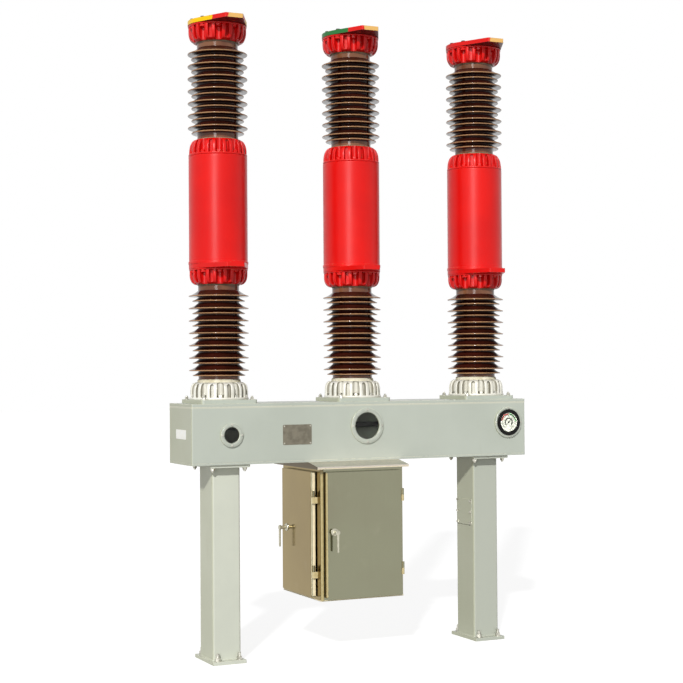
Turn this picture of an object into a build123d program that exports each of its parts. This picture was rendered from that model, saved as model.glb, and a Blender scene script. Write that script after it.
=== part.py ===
from build123d import *
import os
from math import acos, atan2, cos, hypot, radians, sin

# Three-pole live-tank circuit breaker on a two-legged stand, in millimetres.
# +X runs along the beam, -Y is the front with the terminals, +Z is up.
# The origin is on the ground, midway between the legs.

# Stand
PHASE_SPACING = 700.0
FOOT_LENGTH = 164.0
FOOT_DEPTH = 252.0
FOOT_THICKNESS = 16.0
FOOT_HOLE_SPACING_X = 108.0
FOOT_HOLE_SPACING_Y = 212.0
FOOT_HOLE_RADIUS = 9.0
LEG_WIDTH = 140.0
LEG_DEPTH = 175.0
LEG_WALL = 8.0
LEG_CORNER_RADIUS = 10.0
LEG_HEIGHT = 899.0
CAP_LENGTH = 196.0
CAP_DEPTH = 290.0
CAP_THICKNESS = 14.0
ACCESS_COVER_WIDTH = 150.0
ACCESS_COVER_HEIGHT = 130.0
ACCESS_COVER_THICKNESS = 4.0
ACCESS_COVER_RISE = 626.0

# Beam
BEAM_END_OVERHANG = 195.0
BEAM_DEPTH = 314.0
BEAM_PANEL_HEIGHT = 260.0
BEAM_WALL = 8.0
BEAM_BOTTOM_THICKNESS = 10.0
BEAM_TOP_THICKNESS = 14.0
BEAM_BEND_RADIUS = 7.0
ROD_RADIUS = 14.0
ROD_COLLAR_RADIUS = 26.0
ROD_COLLAR_LENGTH = 20.0

# Windows in the beam's front
SMALL_WINDOW_RISE = 128.0
SMALL_WINDOW_RADIUS = 38.0
SMALL_FRAME_RADIUS = 56.0
LARGE_WINDOW_RISE = 157.0
LARGE_WINDOW_RADIUS = 65.0
LARGE_FRAME_RADIUS = 86.0
FRAME_THICKNESS = 9.0
GLASS_THICKNESS = 8.0
GLASS_LAP = 6.0
GLASS_CLEARANCE = 0.3
GAUGE_END_INSET = 103.0
GAUGE_FRAME_RADIUS = 77.0
GAUGE_BODY_RADIUS = 60.0
GAUGE_BEZEL_RADIUS = 65.0
GAUGE_BEZEL_HEIGHT = 6.0
GAUGE_DIAL_RADIUS = 48.0
GAUGE_DIAL_RECESS = 5.0
GAUGE_DEPTH = 55.0

# Poles
MOUNT_PLATE_SIZE = 282.0
MOUNT_PLATE_THICKNESS = 18.0
MOUNT_PLATE_CORNER = 16.0
NECK_RADIUS = 97.0
CEMENT_GAP = 3.0
CUP_DEPTH = 32.0
BASE_CASTING_HEIGHT = 81.0
BASE_FLANGE_RADIUS = 140.0
BASE_FLANGE_THICKNESS = 10.0
SHED_COUNT = 7
SHED_PITCH = 58.5
LARGE_SHED_RADIUS = 142.0
SMALL_SHED_RADIUS = 125.0
SMALL_SHED_DROP = 23.5
SHED_TIP = 6.0
SHED_UNDERCUT = 3.0
LARGE_SHED_RISE = 20.0
SMALL_SHED_RISE = 13.0
FIRST_SHED_HEIGHT = 88.0
LAST_SHED_TO_HEAD = 86.0
LOWER_FLANGE_HEIGHT = 75.0
UPPER_FLANGE_HEIGHT = 77.0
TOP_CASTING_HEIGHT = 81.0
FLANGE_RADIUS = 139.0
FLANGE_THICKNESS = 8.0
DOME_BASE_RADIUS = 136.0
DOME_MIDDLE_RADIUS = 126.0
DOME_RIM_RADIUS = 104.0
FLANGE_BOLT_COUNT = 10
BOLT_POCKET_WIDTH = 34.0
BOLT_POCKET_FLOOR = 109.0
RELIEF_WIDTH = 18.0
RELIEF_FLOOR = 113.0
RIM_BAND = 8.0
TERMINAL_THICKNESS = 21.0
TERMINAL_DISC_RADIUS = 140.0
TERMINAL_REACH = 226.0
TERMINAL_TIP_WIDTH = 86.0
TERMINAL_TIP_CORNER = 6.0
TERMINAL_HOLE_SPACING = 44.0
TERMINAL_HOLE_RADIUS = 7.0
TERMINAL_HOLE_EDGE = 24.0
TANK_HEIGHT = 512.0
TANK_RADIUS = 139.0
TANK_RING_RADIUS = 142.0
TANK_RING_HEIGHT = 11.0
TANK_EDGE_RADIUS = 5.0

# Cabinet
CABINET_LEFT = -279.0
CABINET_WIDTH = 437.0
CABINET_DEPTH = 452.0
CABINET_HEIGHT = 654.0
SHEET = 3.0
SHEET_BEND = 6.0
ROOF_LEFT_OVERHANG = 31.0
ROOF_RIGHT_OVERHANG = 14.0
ROOF_FRONT_OVERHANG = 38.0
ROOF_DROP = 18.0
ROOF_LIP = 12.0
DOOR_TOP_MARGIN = 45.0
DOOR_HEIGHT = 591.0
DOOR_DEPTH = 22.0
DOOR_GAP = 5.0
DOOR_LAP = 13.0
FRONT_DOOR_LEFT_MARGIN = 19.0
FRONT_DOOR_WIDTH = 398.0
SIDE_DOOR_WIDTH = 352.0
HINGE_RADIUS = 7.0
HINGE_PIN_RADIUS = 4.0
HINGE_PIN_CLEARANCE = 0.3
HINGE_LENGTH = 60.0
HINGE_SIDE_GAP = 1.5
HINGE_END_INSET = 89.0
KNUCKLE_GAP = 0.5

# Door handles
FRONT_HANDLE_INSET = 41.0
FRONT_HANDLE_RISE = 309.0
SIDE_HANDLE_INSET = 58.0
SIDE_HANDLE_RISE = 304.0
HANDLE_GAP = 0.3
ROSE_RADIUS = 19.0
ROSE_THICKNESS = 7.0
HANDLE_NECK_RADIUS = 9.0
HANDLE_STAND_OFF = 32.0
LEVER_THICKNESS = 9.0
LEVER_HEAD_WIDTH = 22.0
LEVER_TIP_WIDTH = 12.0
LEVER_DROP = 88.0
LEVER_EDGE_RADIUS = 2.5
SPINDLE_RADIUS = 6.0
SPINDLE_LENGTH = 26.0
SPINDLE_CLEARANCE = 0.3

# Heights that follow from the sizes above
LEG_TOP = FOOT_THICKNESS + LEG_HEIGHT
BEAM_BOTTOM = LEG_TOP + CAP_THICKNESS
PANEL_BOTTOM = BEAM_BOTTOM + BEAM_BOTTOM_THICKNESS
PANEL_TOP = PANEL_BOTTOM + BEAM_PANEL_HEIGHT
BEAM_TOP = PANEL_TOP + BEAM_TOP_THICKNESS
BASE_Z = BEAM_TOP + MOUNT_PLATE_THICKNESS
INSULATOR_LENGTH = FIRST_SHED_HEIGHT + (SHED_COUNT - 1) * SHED_PITCH + LAST_SHED_TO_HEAD
LOWER_FOOT_Z = BASE_Z + BASE_CASTING_HEIGHT - CUP_DEPTH
LOWER_HEAD_Z = LOWER_FOOT_Z + INSULATOR_LENGTH
LOWER_FLANGE_Z = LOWER_HEAD_Z - CUP_DEPTH
LOWER_TERMINAL_Z = LOWER_FLANGE_Z + LOWER_FLANGE_HEIGHT
TANK_Z = LOWER_TERMINAL_Z + TERMINAL_THICKNESS
COLLAR_Z = TANK_Z + TANK_HEIGHT
UPPER_FOOT_Z = COLLAR_Z + UPPER_FLANGE_HEIGHT - CUP_DEPTH
UPPER_HEAD_Z = UPPER_FOOT_Z + INSULATOR_LENGTH
TOP_CASTING_Z = UPPER_HEAD_Z - CUP_DEPTH
TOP_TERMINAL_Z = TOP_CASTING_Z + TOP_CASTING_HEIGHT

BEAM_LENGTH = 2 * (PHASE_SPACING + BEAM_END_OVERHANG)
BEAM_FRONT = -BEAM_DEPTH / 2
SMALL_WINDOW_Z = PANEL_BOTTOM + SMALL_WINDOW_RISE
LARGE_WINDOW_Z = PANEL_BOTTOM + LARGE_WINDOW_RISE
GAUGE_X = BEAM_LENGTH / 2 - GAUGE_END_INSET
CABINET_FLOOR_Z = BEAM_BOTTOM - CABINET_HEIGHT
CABINET_RIGHT = CABINET_LEFT + CABINET_WIDTH
CABINET_FRONT = -CABINET_DEPTH / 2
DOOR_TOP_Z = BEAM_BOTTOM - DOOR_TOP_MARGIN
DOOR_BOTTOM_Z = DOOR_TOP_Z - DOOR_HEIGHT
POLES = {"left": -PHASE_SPACING, "middle": 0.0, "right": PHASE_SPACING}
FRONT_ANGLE = -90.0

os.makedirs("parts", exist_ok=True)


def save(piece, name):
    piece.label = name
    export_step(piece, f"parts/{name}.step")


def pole_section(x):
    """Plane through a pole's axis: local x is the radius, local y is the height."""
    return Plane(origin=(x, 0, 0), x_dir=(1, 0, 0), z_dir=(0, -1, 0))


def level(z, x=0.0, y=0.0):
    return Plane(origin=(x, y, z))


def front_face(y, x=0.0, z=0.0):
    """Plane that faces the front: local x is along the beam, local y is up."""
    return Plane(origin=(x, y, z), x_dir=(1, 0, 0), z_dir=(0, -1, 0))


def left_face(x, y=0.0, z=0.0):
    """Plane that faces left: local x runs from back to front, local y is up."""
    return Plane(origin=(x, y, z), x_dir=(0, -1, 0), z_dir=(-1, 0, 0))


def pole_axis(x):
    return Axis((x, 0, 0), (0, 0, 1))


# Legs
def leg(name, x):
    with BuildPart() as leg:
        with BuildSketch(level(0, x)):
            Rectangle(FOOT_LENGTH, FOOT_DEPTH)
        extrude(amount=FOOT_THICKNESS)
        with BuildSketch(level(FOOT_THICKNESS, x)):
            RectangleRounded(LEG_WIDTH, LEG_DEPTH, LEG_CORNER_RADIUS)
            RectangleRounded(
                LEG_WIDTH - 2 * LEG_WALL,
                LEG_DEPTH - 2 * LEG_WALL,
                LEG_CORNER_RADIUS - LEG_WALL / 2,
                mode=Mode.SUBTRACT,
            )
        extrude(amount=LEG_HEIGHT)
        with BuildSketch(level(LEG_TOP, x)):
            Rectangle(CAP_LENGTH, CAP_DEPTH)
        extrude(amount=CAP_THICKNESS)
        with BuildSketch(level(0, x)):
            with GridLocations(FOOT_HOLE_SPACING_X, FOOT_HOLE_SPACING_Y, 2, 2):
                Circle(FOOT_HOLE_RADIUS)
        extrude(amount=FOOT_THICKNESS, mode=Mode.SUBTRACT)
    save(leg.part, name)


leg("left_leg", -PHASE_SPACING)
leg("right_leg", PHASE_SPACING)

cover_x = PHASE_SPACING - LEG_WIDTH / 2
with BuildPart() as access_cover:
    with BuildSketch(left_face(cover_x, z=FOOT_THICKNESS + ACCESS_COVER_RISE)):
        Rectangle(ACCESS_COVER_WIDTH, ACCESS_COVER_HEIGHT)
    extrude(amount=ACCESS_COVER_THICKNESS)
save(access_cover.part, "leg_access_cover")


# Beam
def beam_slab(name, z, thickness):
    with BuildPart() as slab:
        with BuildSketch(level(z)):
            RectangleRounded(BEAM_LENGTH, BEAM_DEPTH, BEAM_BEND_RADIUS)
        extrude(amount=thickness)
    save(slab.part, name)


beam_slab("beam_bottom_plate", BEAM_BOTTOM, BEAM_BOTTOM_THICKNESS)
beam_slab("beam_top_plate", PANEL_TOP, BEAM_TOP_THICKNESS)

# Each window is (x, z, clear radius of the frame, outer radius of the frame, hole radius of the panel).
small_hole = SMALL_WINDOW_RADIUS + GLASS_LAP + GLASS_CLEARANCE
large_hole = LARGE_WINDOW_RADIUS + GLASS_LAP + GLASS_CLEARANCE
gauge_hole = GAUGE_BODY_RADIUS + GLASS_CLEARANCE
WINDOWS = [
    (POLES["left"], SMALL_WINDOW_Z, SMALL_WINDOW_RADIUS, SMALL_FRAME_RADIUS, small_hole),
    (POLES["middle"], LARGE_WINDOW_Z, LARGE_WINDOW_RADIUS, LARGE_FRAME_RADIUS, large_hole),
    (GAUGE_X, LARGE_WINDOW_Z, gauge_hole, GAUGE_FRAME_RADIUS, gauge_hole),
]

with BuildPart() as front_panel:
    with BuildSketch(front_face(BEAM_FRONT + BEAM_WALL, z=PANEL_BOTTOM + BEAM_PANEL_HEIGHT / 2)):
        Rectangle(BEAM_LENGTH, BEAM_PANEL_HEIGHT)
    extrude(amount=BEAM_WALL)
    for x, z, clear_radius, frame_radius, hole_radius in WINDOWS:
        with BuildSketch(front_face(BEAM_FRONT + BEAM_WALL, x, z)):
            Circle(hole_radius)
        extrude(amount=BEAM_WALL, mode=Mode.SUBTRACT)
    fillet(front_panel.edges().filter_by(Axis.Z).group_by(Axis.Y)[0], radius=BEAM_BEND_RADIUS)
save(front_panel.part, "beam_front_panel")

with BuildPart() as back_panel:
    with BuildSketch(front_face(-BEAM_FRONT, z=PANEL_BOTTOM + BEAM_PANEL_HEIGHT / 2)):
        Rectangle(BEAM_LENGTH, BEAM_PANEL_HEIGHT)
    extrude(amount=BEAM_WALL)
    fillet(back_panel.edges().filter_by(Axis.Z).group_by(Axis.Y)[-1], radius=BEAM_BEND_RADIUS)
save(back_panel.part, "beam_back_panel")

with BuildPart() as beam_ends:
    end_planes = [
        left_face(x, z=PANEL_BOTTOM + BEAM_PANEL_HEIGHT / 2)
        for x in (-BEAM_LENGTH / 2 + BEAM_WALL, BEAM_LENGTH / 2)
    ]
    with BuildSketch(*end_planes):
        Rectangle(BEAM_DEPTH - 2 * BEAM_WALL, BEAM_PANEL_HEIGHT)
    extrude(amount=BEAM_WALL)
save(beam_ends.part, "beam_end_plates")

# Rod inside the beam, with a collar at each end plate
with BuildPart() as beam_rod:
    with BuildSketch(left_face(BEAM_LENGTH / 2 - BEAM_WALL, z=LARGE_WINDOW_Z)):
        Circle(ROD_RADIUS)
    extrude(amount=BEAM_LENGTH - 2 * BEAM_WALL)
    collar_starts = (BEAM_LENGTH / 2 - BEAM_WALL, -BEAM_LENGTH / 2 + BEAM_WALL + ROD_COLLAR_LENGTH)
    for x in collar_starts:
        with BuildSketch(left_face(x, z=LARGE_WINDOW_Z)):
            Circle(ROD_COLLAR_RADIUS)
        extrude(amount=ROD_COLLAR_LENGTH)
save(beam_rod.part, "beam_rod")

# Window frames, glasses and the gauge
with BuildPart() as window_frames:
    for x, z, clear_radius, frame_radius, hole_radius in WINDOWS:
        with BuildSketch(front_face(BEAM_FRONT, x, z)):
            Circle(frame_radius)
            Circle(clear_radius, mode=Mode.SUBTRACT)
        extrude(amount=FRAME_THICKNESS)
save(window_frames.part, "window_frames")

with BuildPart() as window_glasses:
    for x, z, clear_radius, frame_radius, hole_radius in WINDOWS[:2]:
        with BuildSketch(front_face(BEAM_FRONT + GLASS_THICKNESS, x, z)):
            Circle(hole_radius - GLASS_CLEARANCE)
        extrude(amount=GLASS_THICKNESS)
save(window_glasses.part, "window_glasses")

gauge_face = BEAM_FRONT - FRAME_THICKNESS
with BuildPart() as density_gauge:
    with BuildSketch(front_face(gauge_face, GAUGE_X, LARGE_WINDOW_Z)):
        Circle(GAUGE_BEZEL_RADIUS)
    extrude(amount=GAUGE_BEZEL_HEIGHT)
    with BuildSketch(front_face(gauge_face, GAUGE_X, LARGE_WINDOW_Z)):
        Circle(GAUGE_BODY_RADIUS)
    extrude(amount=-GAUGE_DEPTH)
    with BuildSketch(front_face(gauge_face - GAUGE_BEZEL_HEIGHT, GAUGE_X, LARGE_WINDOW_Z)):
        Circle(GAUGE_DIAL_RADIUS)
    extrude(amount=-GAUGE_DIAL_RECESS, mode=Mode.SUBTRACT)
save(density_gauge.part, "density_gauge")

# Square mounting plates, one under each pole
with BuildPart() as pole_mount_plates:
    for x in POLES.values():
        with BuildSketch(level(BEAM_TOP, x)):
            RectangleRounded(MOUNT_PLATE_SIZE, MOUNT_PLATE_SIZE, MOUNT_PLATE_CORNER)
        extrude(amount=MOUNT_PLATE_THICKNESS)
save(pole_mount_plates.part, "pole_mount_plates")


# Poles
def ribbed_casting(name, poles, flange_z, end_z, flange_radius, flange_thickness):
    """Domed castings from a flange at flange_z to a cup at end_z.

    A pocket for each flange bolt is cut all the way up, and a narrower relief between two bolts stops
    below the rim, so that ribs are left between them.
    """
    up = 1 if end_z > flange_z else -1
    shoulder_z = flange_z + up * flange_thickness
    dome_height = abs(end_z - shoulder_z)
    pocket_reach = FLANGE_RADIUS - BOLT_POCKET_FLOOR
    pocket_radius = BOLT_POCKET_FLOOR + (pocket_reach + BOLT_POCKET_WIDTH) / 2
    relief_depth = FLANGE_RADIUS - RELIEF_FLOOR
    relief_radius = RELIEF_FLOOR + relief_depth / 2
    first_pocket = FRONT_ANGLE + 180 / FLANGE_BOLT_COUNT
    with BuildPart() as casting:
        for x in poles:
            with BuildSketch(pole_section(x)):
                with BuildLine():
                    dome = ThreePointArc(
                        (DOME_BASE_RADIUS, shoulder_z),
                        (DOME_MIDDLE_RADIUS, (shoulder_z + end_z) / 2),
                        (DOME_RIM_RADIUS, end_z),
                    )
                    Polyline(
                        dome @ 1,
                        (NECK_RADIUS + CEMENT_GAP, end_z),
                        (NECK_RADIUS + CEMENT_GAP, end_z - up * CUP_DEPTH),
                        (0, end_z - up * CUP_DEPTH),
                        (0, flange_z),
                        (flange_radius, flange_z),
                        (flange_radius, shoulder_z),
                        dome @ 0,
                    )
                make_face()
            revolve(axis=pole_axis(x))
            with BuildSketch(level(shoulder_z, x)):
                with PolarLocations(pocket_radius, FLANGE_BOLT_COUNT, start_angle=first_pocket):
                    SlotCenterToCenter(pocket_reach, BOLT_POCKET_WIDTH)
            extrude(amount=up * dome_height, mode=Mode.SUBTRACT)
            with BuildSketch(level(shoulder_z, x)):
                with PolarLocations(relief_radius, FLANGE_BOLT_COUNT, start_angle=FRONT_ANGLE):
                    Rectangle(relief_depth, RELIEF_WIDTH)
            extrude(amount=up * (dome_height - RIM_BAND), mode=Mode.SUBTRACT)
    save(casting.part, name)


def insulator(name, x, foot_z):
    """Porcelain with a plain neck at each end and alternating large and small sheds."""
    head_z = foot_z + INSULATOR_LENGTH
    with BuildPart() as insulator:
        with BuildSketch(pole_section(x)):
            with BuildLine():
                outline = [(0, foot_z), (NECK_RADIUS, foot_z)]
                for n in range(SHED_COUNT):
                    large_z = foot_z + FIRST_SHED_HEIGHT + n * SHED_PITCH
                    small_z = large_z - SMALL_SHED_DROP
                    for radius, tip_z, rise in (
                        (SMALL_SHED_RADIUS, small_z, SMALL_SHED_RISE),
                        (LARGE_SHED_RADIUS, large_z, LARGE_SHED_RISE),
                    ):
                        outline += [
                            (NECK_RADIUS, tip_z - SHED_UNDERCUT),
                            (radius, tip_z - SHED_TIP / 2),
                            (radius, tip_z + SHED_TIP / 2),
                            (NECK_RADIUS, tip_z + rise),
                        ]
                Polyline(*outline, (NECK_RADIUS, head_z), (0, head_z), close=True)
            make_face()
        revolve(axis=pole_axis(x))
    save(insulator.part, name)


def terminal_plate(name, x, z):
    """Round plate whose sides run in straight tangents to a narrower tip at the front."""
    tip_x = TERMINAL_TIP_WIDTH / 2
    tip_angle = atan2(-TERMINAL_REACH, tip_x)
    side_angle = tip_angle + acos(TERMINAL_DISC_RADIUS / hypot(tip_x, TERMINAL_REACH))
    side_x = TERMINAL_DISC_RADIUS * cos(side_angle)
    side_y = TERMINAL_DISC_RADIUS * sin(side_angle)
    hole_centre_y = -TERMINAL_REACH + TERMINAL_HOLE_EDGE + TERMINAL_HOLE_SPACING / 2
    with BuildPart() as plate:
        with BuildSketch(level(z, x)) as outline:
            Circle(TERMINAL_DISC_RADIUS)
            with BuildLine():
                Polyline(
                    (-side_x, side_y),
                    (-tip_x, -TERMINAL_REACH),
                    (tip_x, -TERMINAL_REACH),
                    (side_x, side_y),
                    close=True,
                )
            make_face()
            fillet(outline.vertices().group_by(Axis.Y)[0], radius=TERMINAL_TIP_CORNER)
            with Locations((0, hole_centre_y)):
                with GridLocations(TERMINAL_HOLE_SPACING, TERMINAL_HOLE_SPACING, 2, 2):
                    Circle(TERMINAL_HOLE_RADIUS, mode=Mode.SUBTRACT)
        extrude(amount=TERMINAL_THICKNESS)
    save(plate.part, name)


def tank(name, x):
    """Plain cylinder with a rounded upper edge and a slightly larger ring at its foot."""
    with BuildPart() as tank:
        with BuildSketch(level(TANK_Z, x)):
            Circle(TANK_RADIUS)
        extrude(amount=TANK_HEIGHT)
        fillet(tank.edges().group_by(Axis.Z)[-1], radius=TANK_EDGE_RADIUS)
        with BuildSketch(level(TANK_Z, x)):
            Circle(TANK_RING_RADIUS)
        extrude(amount=TANK_RING_HEIGHT)
    save(tank.part, name)


base_flange = (BASE_FLANGE_RADIUS, BASE_FLANGE_THICKNESS)
red_flange = (FLANGE_RADIUS, FLANGE_THICKNESS)
upper_rim_z = COLLAR_Z + UPPER_FLANGE_HEIGHT
ribbed_casting("base_castings", POLES.values(), BASE_Z, BASE_Z + BASE_CASTING_HEIGHT, *base_flange)
for side, x in POLES.items():
    insulator(f"{side}_lower_insulator", x, LOWER_FOOT_Z)
    ribbed_casting(f"{side}_lower_flange", [x], LOWER_TERMINAL_Z, LOWER_FLANGE_Z, *red_flange)
    terminal_plate(f"{side}_lower_terminal", x, LOWER_TERMINAL_Z)
    tank(f"{side}_tank", x)
    ribbed_casting(f"{side}_upper_flange", [x], COLLAR_Z, upper_rim_z, *red_flange)
    insulator(f"{side}_upper_insulator", x, UPPER_FOOT_Z)
    ribbed_casting(f"{side}_top_casting", [x], TOP_TERMINAL_Z, TOP_CASTING_Z, *red_flange)
    terminal_plate(f"{side}_top_terminal", x, TOP_TERMINAL_Z)


# Cabinet roof: flat under the beam, sloping to a lip at the front and the back
ROOF_LEFT = CABINET_LEFT - ROOF_LEFT_OVERHANG
ROOF_RIGHT = CABINET_RIGHT + ROOF_RIGHT_OVERHANG
ROOF_EDGE = CABINET_DEPTH / 2 + ROOF_FRONT_OVERHANG
ROOF_FLAT = BEAM_DEPTH / 2
EAVE_Z = BEAM_BOTTOM - ROOF_DROP
LIP_Z = EAVE_Z - ROOF_LIP


def roof_underside(y):
    """Height of the roof's underside at a distance from the beam's middle."""
    slope = max(0.0, abs(y) - ROOF_FLAT) / (ROOF_EDGE - ROOF_FLAT)
    return BEAM_BOTTOM - SHEET - ROOF_DROP * slope


with BuildPart() as cabinet_roof:
    with BuildSketch(left_face(ROOF_RIGHT)):
        with BuildLine():
            Polyline(
                (-ROOF_EDGE, LIP_Z),
                (-ROOF_EDGE, EAVE_Z),
                (-ROOF_FLAT, BEAM_BOTTOM),
                (ROOF_FLAT, BEAM_BOTTOM),
                (ROOF_EDGE, EAVE_Z),
                (ROOF_EDGE, LIP_Z),
                close=True,
            )
        make_face()
    extrude(amount=ROOF_RIGHT - ROOF_LEFT)
    with BuildSketch(left_face(ROOF_RIGHT - SHEET)):
        with BuildLine():
            Polyline(
                (-ROOF_EDGE + SHEET, LIP_Z),
                (-ROOF_EDGE + SHEET, roof_underside(ROOF_EDGE - SHEET)),
                (-ROOF_FLAT, BEAM_BOTTOM - SHEET),
                (ROOF_FLAT, BEAM_BOTTOM - SHEET),
                (ROOF_EDGE - SHEET, roof_underside(ROOF_EDGE - SHEET)),
                (ROOF_EDGE - SHEET, LIP_Z),
                close=True,
            )
        make_face()
    extrude(amount=ROOF_RIGHT - ROOF_LEFT - 2 * SHEET, mode=Mode.SUBTRACT)
save(cabinet_roof.part, "cabinet_roof")


def cabinet_outline(inset):
    """Side outline of the cabinet, inset by a sheet's thickness, under the roof's slopes."""
    edge = CABINET_DEPTH / 2 - inset
    return [
        (-edge, CABINET_FLOOR_Z + inset),
        (-edge, roof_underside(edge) - inset),
        (-ROOF_FLAT, BEAM_BOTTOM - SHEET - inset),
        (ROOF_FLAT, BEAM_BOTTOM - SHEET - inset),
        (edge, roof_underside(edge) - inset),
        (edge, CABINET_FLOOR_Z + inset),
    ]


# Door leaves: panel edges, hinge axes and the openings that they cover
front_door_left = CABINET_LEFT + FRONT_DOOR_LEFT_MARGIN
front_door_right = front_door_left + FRONT_DOOR_WIDTH
front_door_x = (front_door_left + front_door_right) / 2
door_z = DOOR_BOTTOM_Z + DOOR_HEIGHT / 2
opening_height = DOOR_HEIGHT - 2 * DOOR_LAP
front_door_back = CABINET_FRONT - DOOR_GAP
side_door_back = CABINET_LEFT - DOOR_GAP
front_hinge = (front_door_right + HINGE_SIDE_GAP + HINGE_RADIUS, front_door_back - DOOR_DEPTH + HINGE_RADIUS)
side_hinge = (
    side_door_back - DOOR_DEPTH + HINGE_RADIUS,
    -SIDE_DOOR_WIDTH / 2 - HINGE_SIDE_GAP - HINGE_RADIUS,
)
front_handle_at = (front_door_left + FRONT_HANDLE_INSET, DOOR_BOTTOM_Z + FRONT_HANDLE_RISE)
side_handle_at = (SIDE_DOOR_WIDTH / 2 - SIDE_HANDLE_INSET, DOOR_BOTTOM_Z + SIDE_HANDLE_RISE)
hinge_starts = (DOOR_BOTTOM_Z + HINGE_END_INSET, DOOR_TOP_Z - HINGE_END_INSET - HINGE_LENGTH)

with BuildPart() as cabinet_body:
    with BuildSketch(left_face(CABINET_RIGHT)):
        with BuildLine():
            Polyline(*cabinet_outline(0), close=True)
        make_face()
    extrude(amount=CABINET_WIDTH)
    with BuildSketch(left_face(CABINET_RIGHT - SHEET)):
        with BuildLine():
            Polyline(*cabinet_outline(SHEET), close=True)
        make_face()
    extrude(amount=CABINET_WIDTH - 2 * SHEET, mode=Mode.SUBTRACT)
    corner_posts = cabinet_body.edges().filter_by(Axis.Z).filter_by_position(Axis.X, CABINET_LEFT, CABINET_LEFT)
    corner_posts += cabinet_body.edges().filter_by(Axis.Z).filter_by_position(Axis.X, CABINET_RIGHT, CABINET_RIGHT)
    fillet(corner_posts, radius=SHEET_BEND)
    with BuildSketch(front_face(CABINET_FRONT + SHEET, front_door_x, door_z)):
        Rectangle(FRONT_DOOR_WIDTH - 2 * DOOR_LAP, opening_height)
    extrude(amount=SHEET, mode=Mode.SUBTRACT)
    with BuildSketch(left_face(CABINET_LEFT + SHEET, z=door_z)):
        Rectangle(SIDE_DOOR_WIDTH - 2 * DOOR_LAP, opening_height)
    extrude(amount=SHEET, mode=Mode.SUBTRACT)
save(cabinet_body.part, "cabinet_body")


def knuckle_levels(start):
    """Heights of the fixed lower half and the moving upper half of one hinge."""
    half = (HINGE_LENGTH - KNUCKLE_GAP) / 2
    return start, start + half + KNUCKLE_GAP, half


# Fixed halves of the hinges: a knuckle, its leaf to the cabinet's face and the pin
with BuildPart() as door_hinges:
    for start in hinge_starts:
        fixed_z, moving_z, half = knuckle_levels(start)
        with BuildSketch(level(fixed_z)):
            with Locations(front_hinge, side_hinge):
                Circle(HINGE_RADIUS)
            front_leaf = CABINET_FRONT - front_hinge[1]
            with Locations((front_hinge[0] + HINGE_RADIUS / 2, front_hinge[1] + front_leaf / 2)):
                Rectangle(HINGE_RADIUS, front_leaf)
            side_leaf = CABINET_LEFT - side_hinge[0]
            with Locations((side_hinge[0] + side_leaf / 2, side_hinge[1] - HINGE_RADIUS / 2)):
                Rectangle(side_leaf, HINGE_RADIUS)
        extrude(amount=half)
        with BuildSketch(level(fixed_z + half)):
            with Locations(front_hinge, side_hinge):
                Circle(HINGE_PIN_RADIUS)
        extrude(amount=half + KNUCKLE_GAP)
save(door_hinges.part, "door_hinges")

# Front door: a sheet pan with the spindle hole and the moving knuckles on its right edge
with BuildPart() as front_door:
    with BuildSketch(front_face(front_door_back, front_door_x, door_z)):
        Rectangle(FRONT_DOOR_WIDTH, DOOR_HEIGHT)
    extrude(amount=DOOR_DEPTH)
    with BuildSketch(front_face(front_door_back, front_door_x, door_z)):
        Rectangle(FRONT_DOOR_WIDTH - 2 * SHEET, DOOR_HEIGHT - 2 * SHEET)
    extrude(amount=DOOR_DEPTH - SHEET, mode=Mode.SUBTRACT)
    fillet(front_door.edges().filter_by(Axis.Z).group_by(Axis.Y)[0], radius=SHEET_BEND)
    with BuildSketch(front_face(front_door_back, *front_handle_at)):
        Circle(SPINDLE_RADIUS + SPINDLE_CLEARANCE)
    extrude(amount=DOOR_DEPTH, mode=Mode.SUBTRACT)
    for start in hinge_starts:
        fixed_z, moving_z, half = knuckle_levels(start)
        with BuildSketch(level(moving_z)):
            with Locations(front_hinge):
                Circle(HINGE_RADIUS)
            with Locations((front_door_right - SHEET / 2 + HINGE_RADIUS / 2, front_hinge[1])):
                Rectangle(HINGE_RADIUS + SHEET, HINGE_RADIUS)
            with Locations(front_hinge):
                Circle(HINGE_PIN_RADIUS + HINGE_PIN_CLEARANCE, mode=Mode.SUBTRACT)
        extrude(amount=half)
save(front_door.part, "front_door")

# Side door: a sheet pan with the spindle hole and the moving knuckles on its front edge
with BuildPart() as side_door:
    with BuildSketch(left_face(side_door_back, z=door_z)):
        Rectangle(SIDE_DOOR_WIDTH, DOOR_HEIGHT)
    extrude(amount=DOOR_DEPTH)
    with BuildSketch(left_face(side_door_back, z=door_z)):
        Rectangle(SIDE_DOOR_WIDTH - 2 * SHEET, DOOR_HEIGHT - 2 * SHEET)
    extrude(amount=DOOR_DEPTH - SHEET, mode=Mode.SUBTRACT)
    fillet(side_door.edges().filter_by(Axis.Z).group_by(Axis.X)[0], radius=SHEET_BEND)
    with BuildSketch(left_face(side_door_back, *side_handle_at)):
        Circle(SPINDLE_RADIUS + SPINDLE_CLEARANCE)
    extrude(amount=DOOR_DEPTH, mode=Mode.SUBTRACT)
    for start in hinge_starts:
        fixed_z, moving_z, half = knuckle_levels(start)
        with BuildSketch(level(moving_z)):
            with Locations(side_hinge):
                Circle(HINGE_RADIUS)
            with Locations((side_hinge[0], -SIDE_DOOR_WIDTH / 2 + SHEET / 2 - HINGE_RADIUS / 2)):
                Rectangle(HINGE_RADIUS, HINGE_RADIUS + SHEET)
            with Locations(side_hinge):
                Circle(HINGE_PIN_RADIUS + HINGE_PIN_CLEARANCE, mode=Mode.SUBTRACT)
        extrude(amount=half)
save(side_door.part, "side_door")


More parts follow.
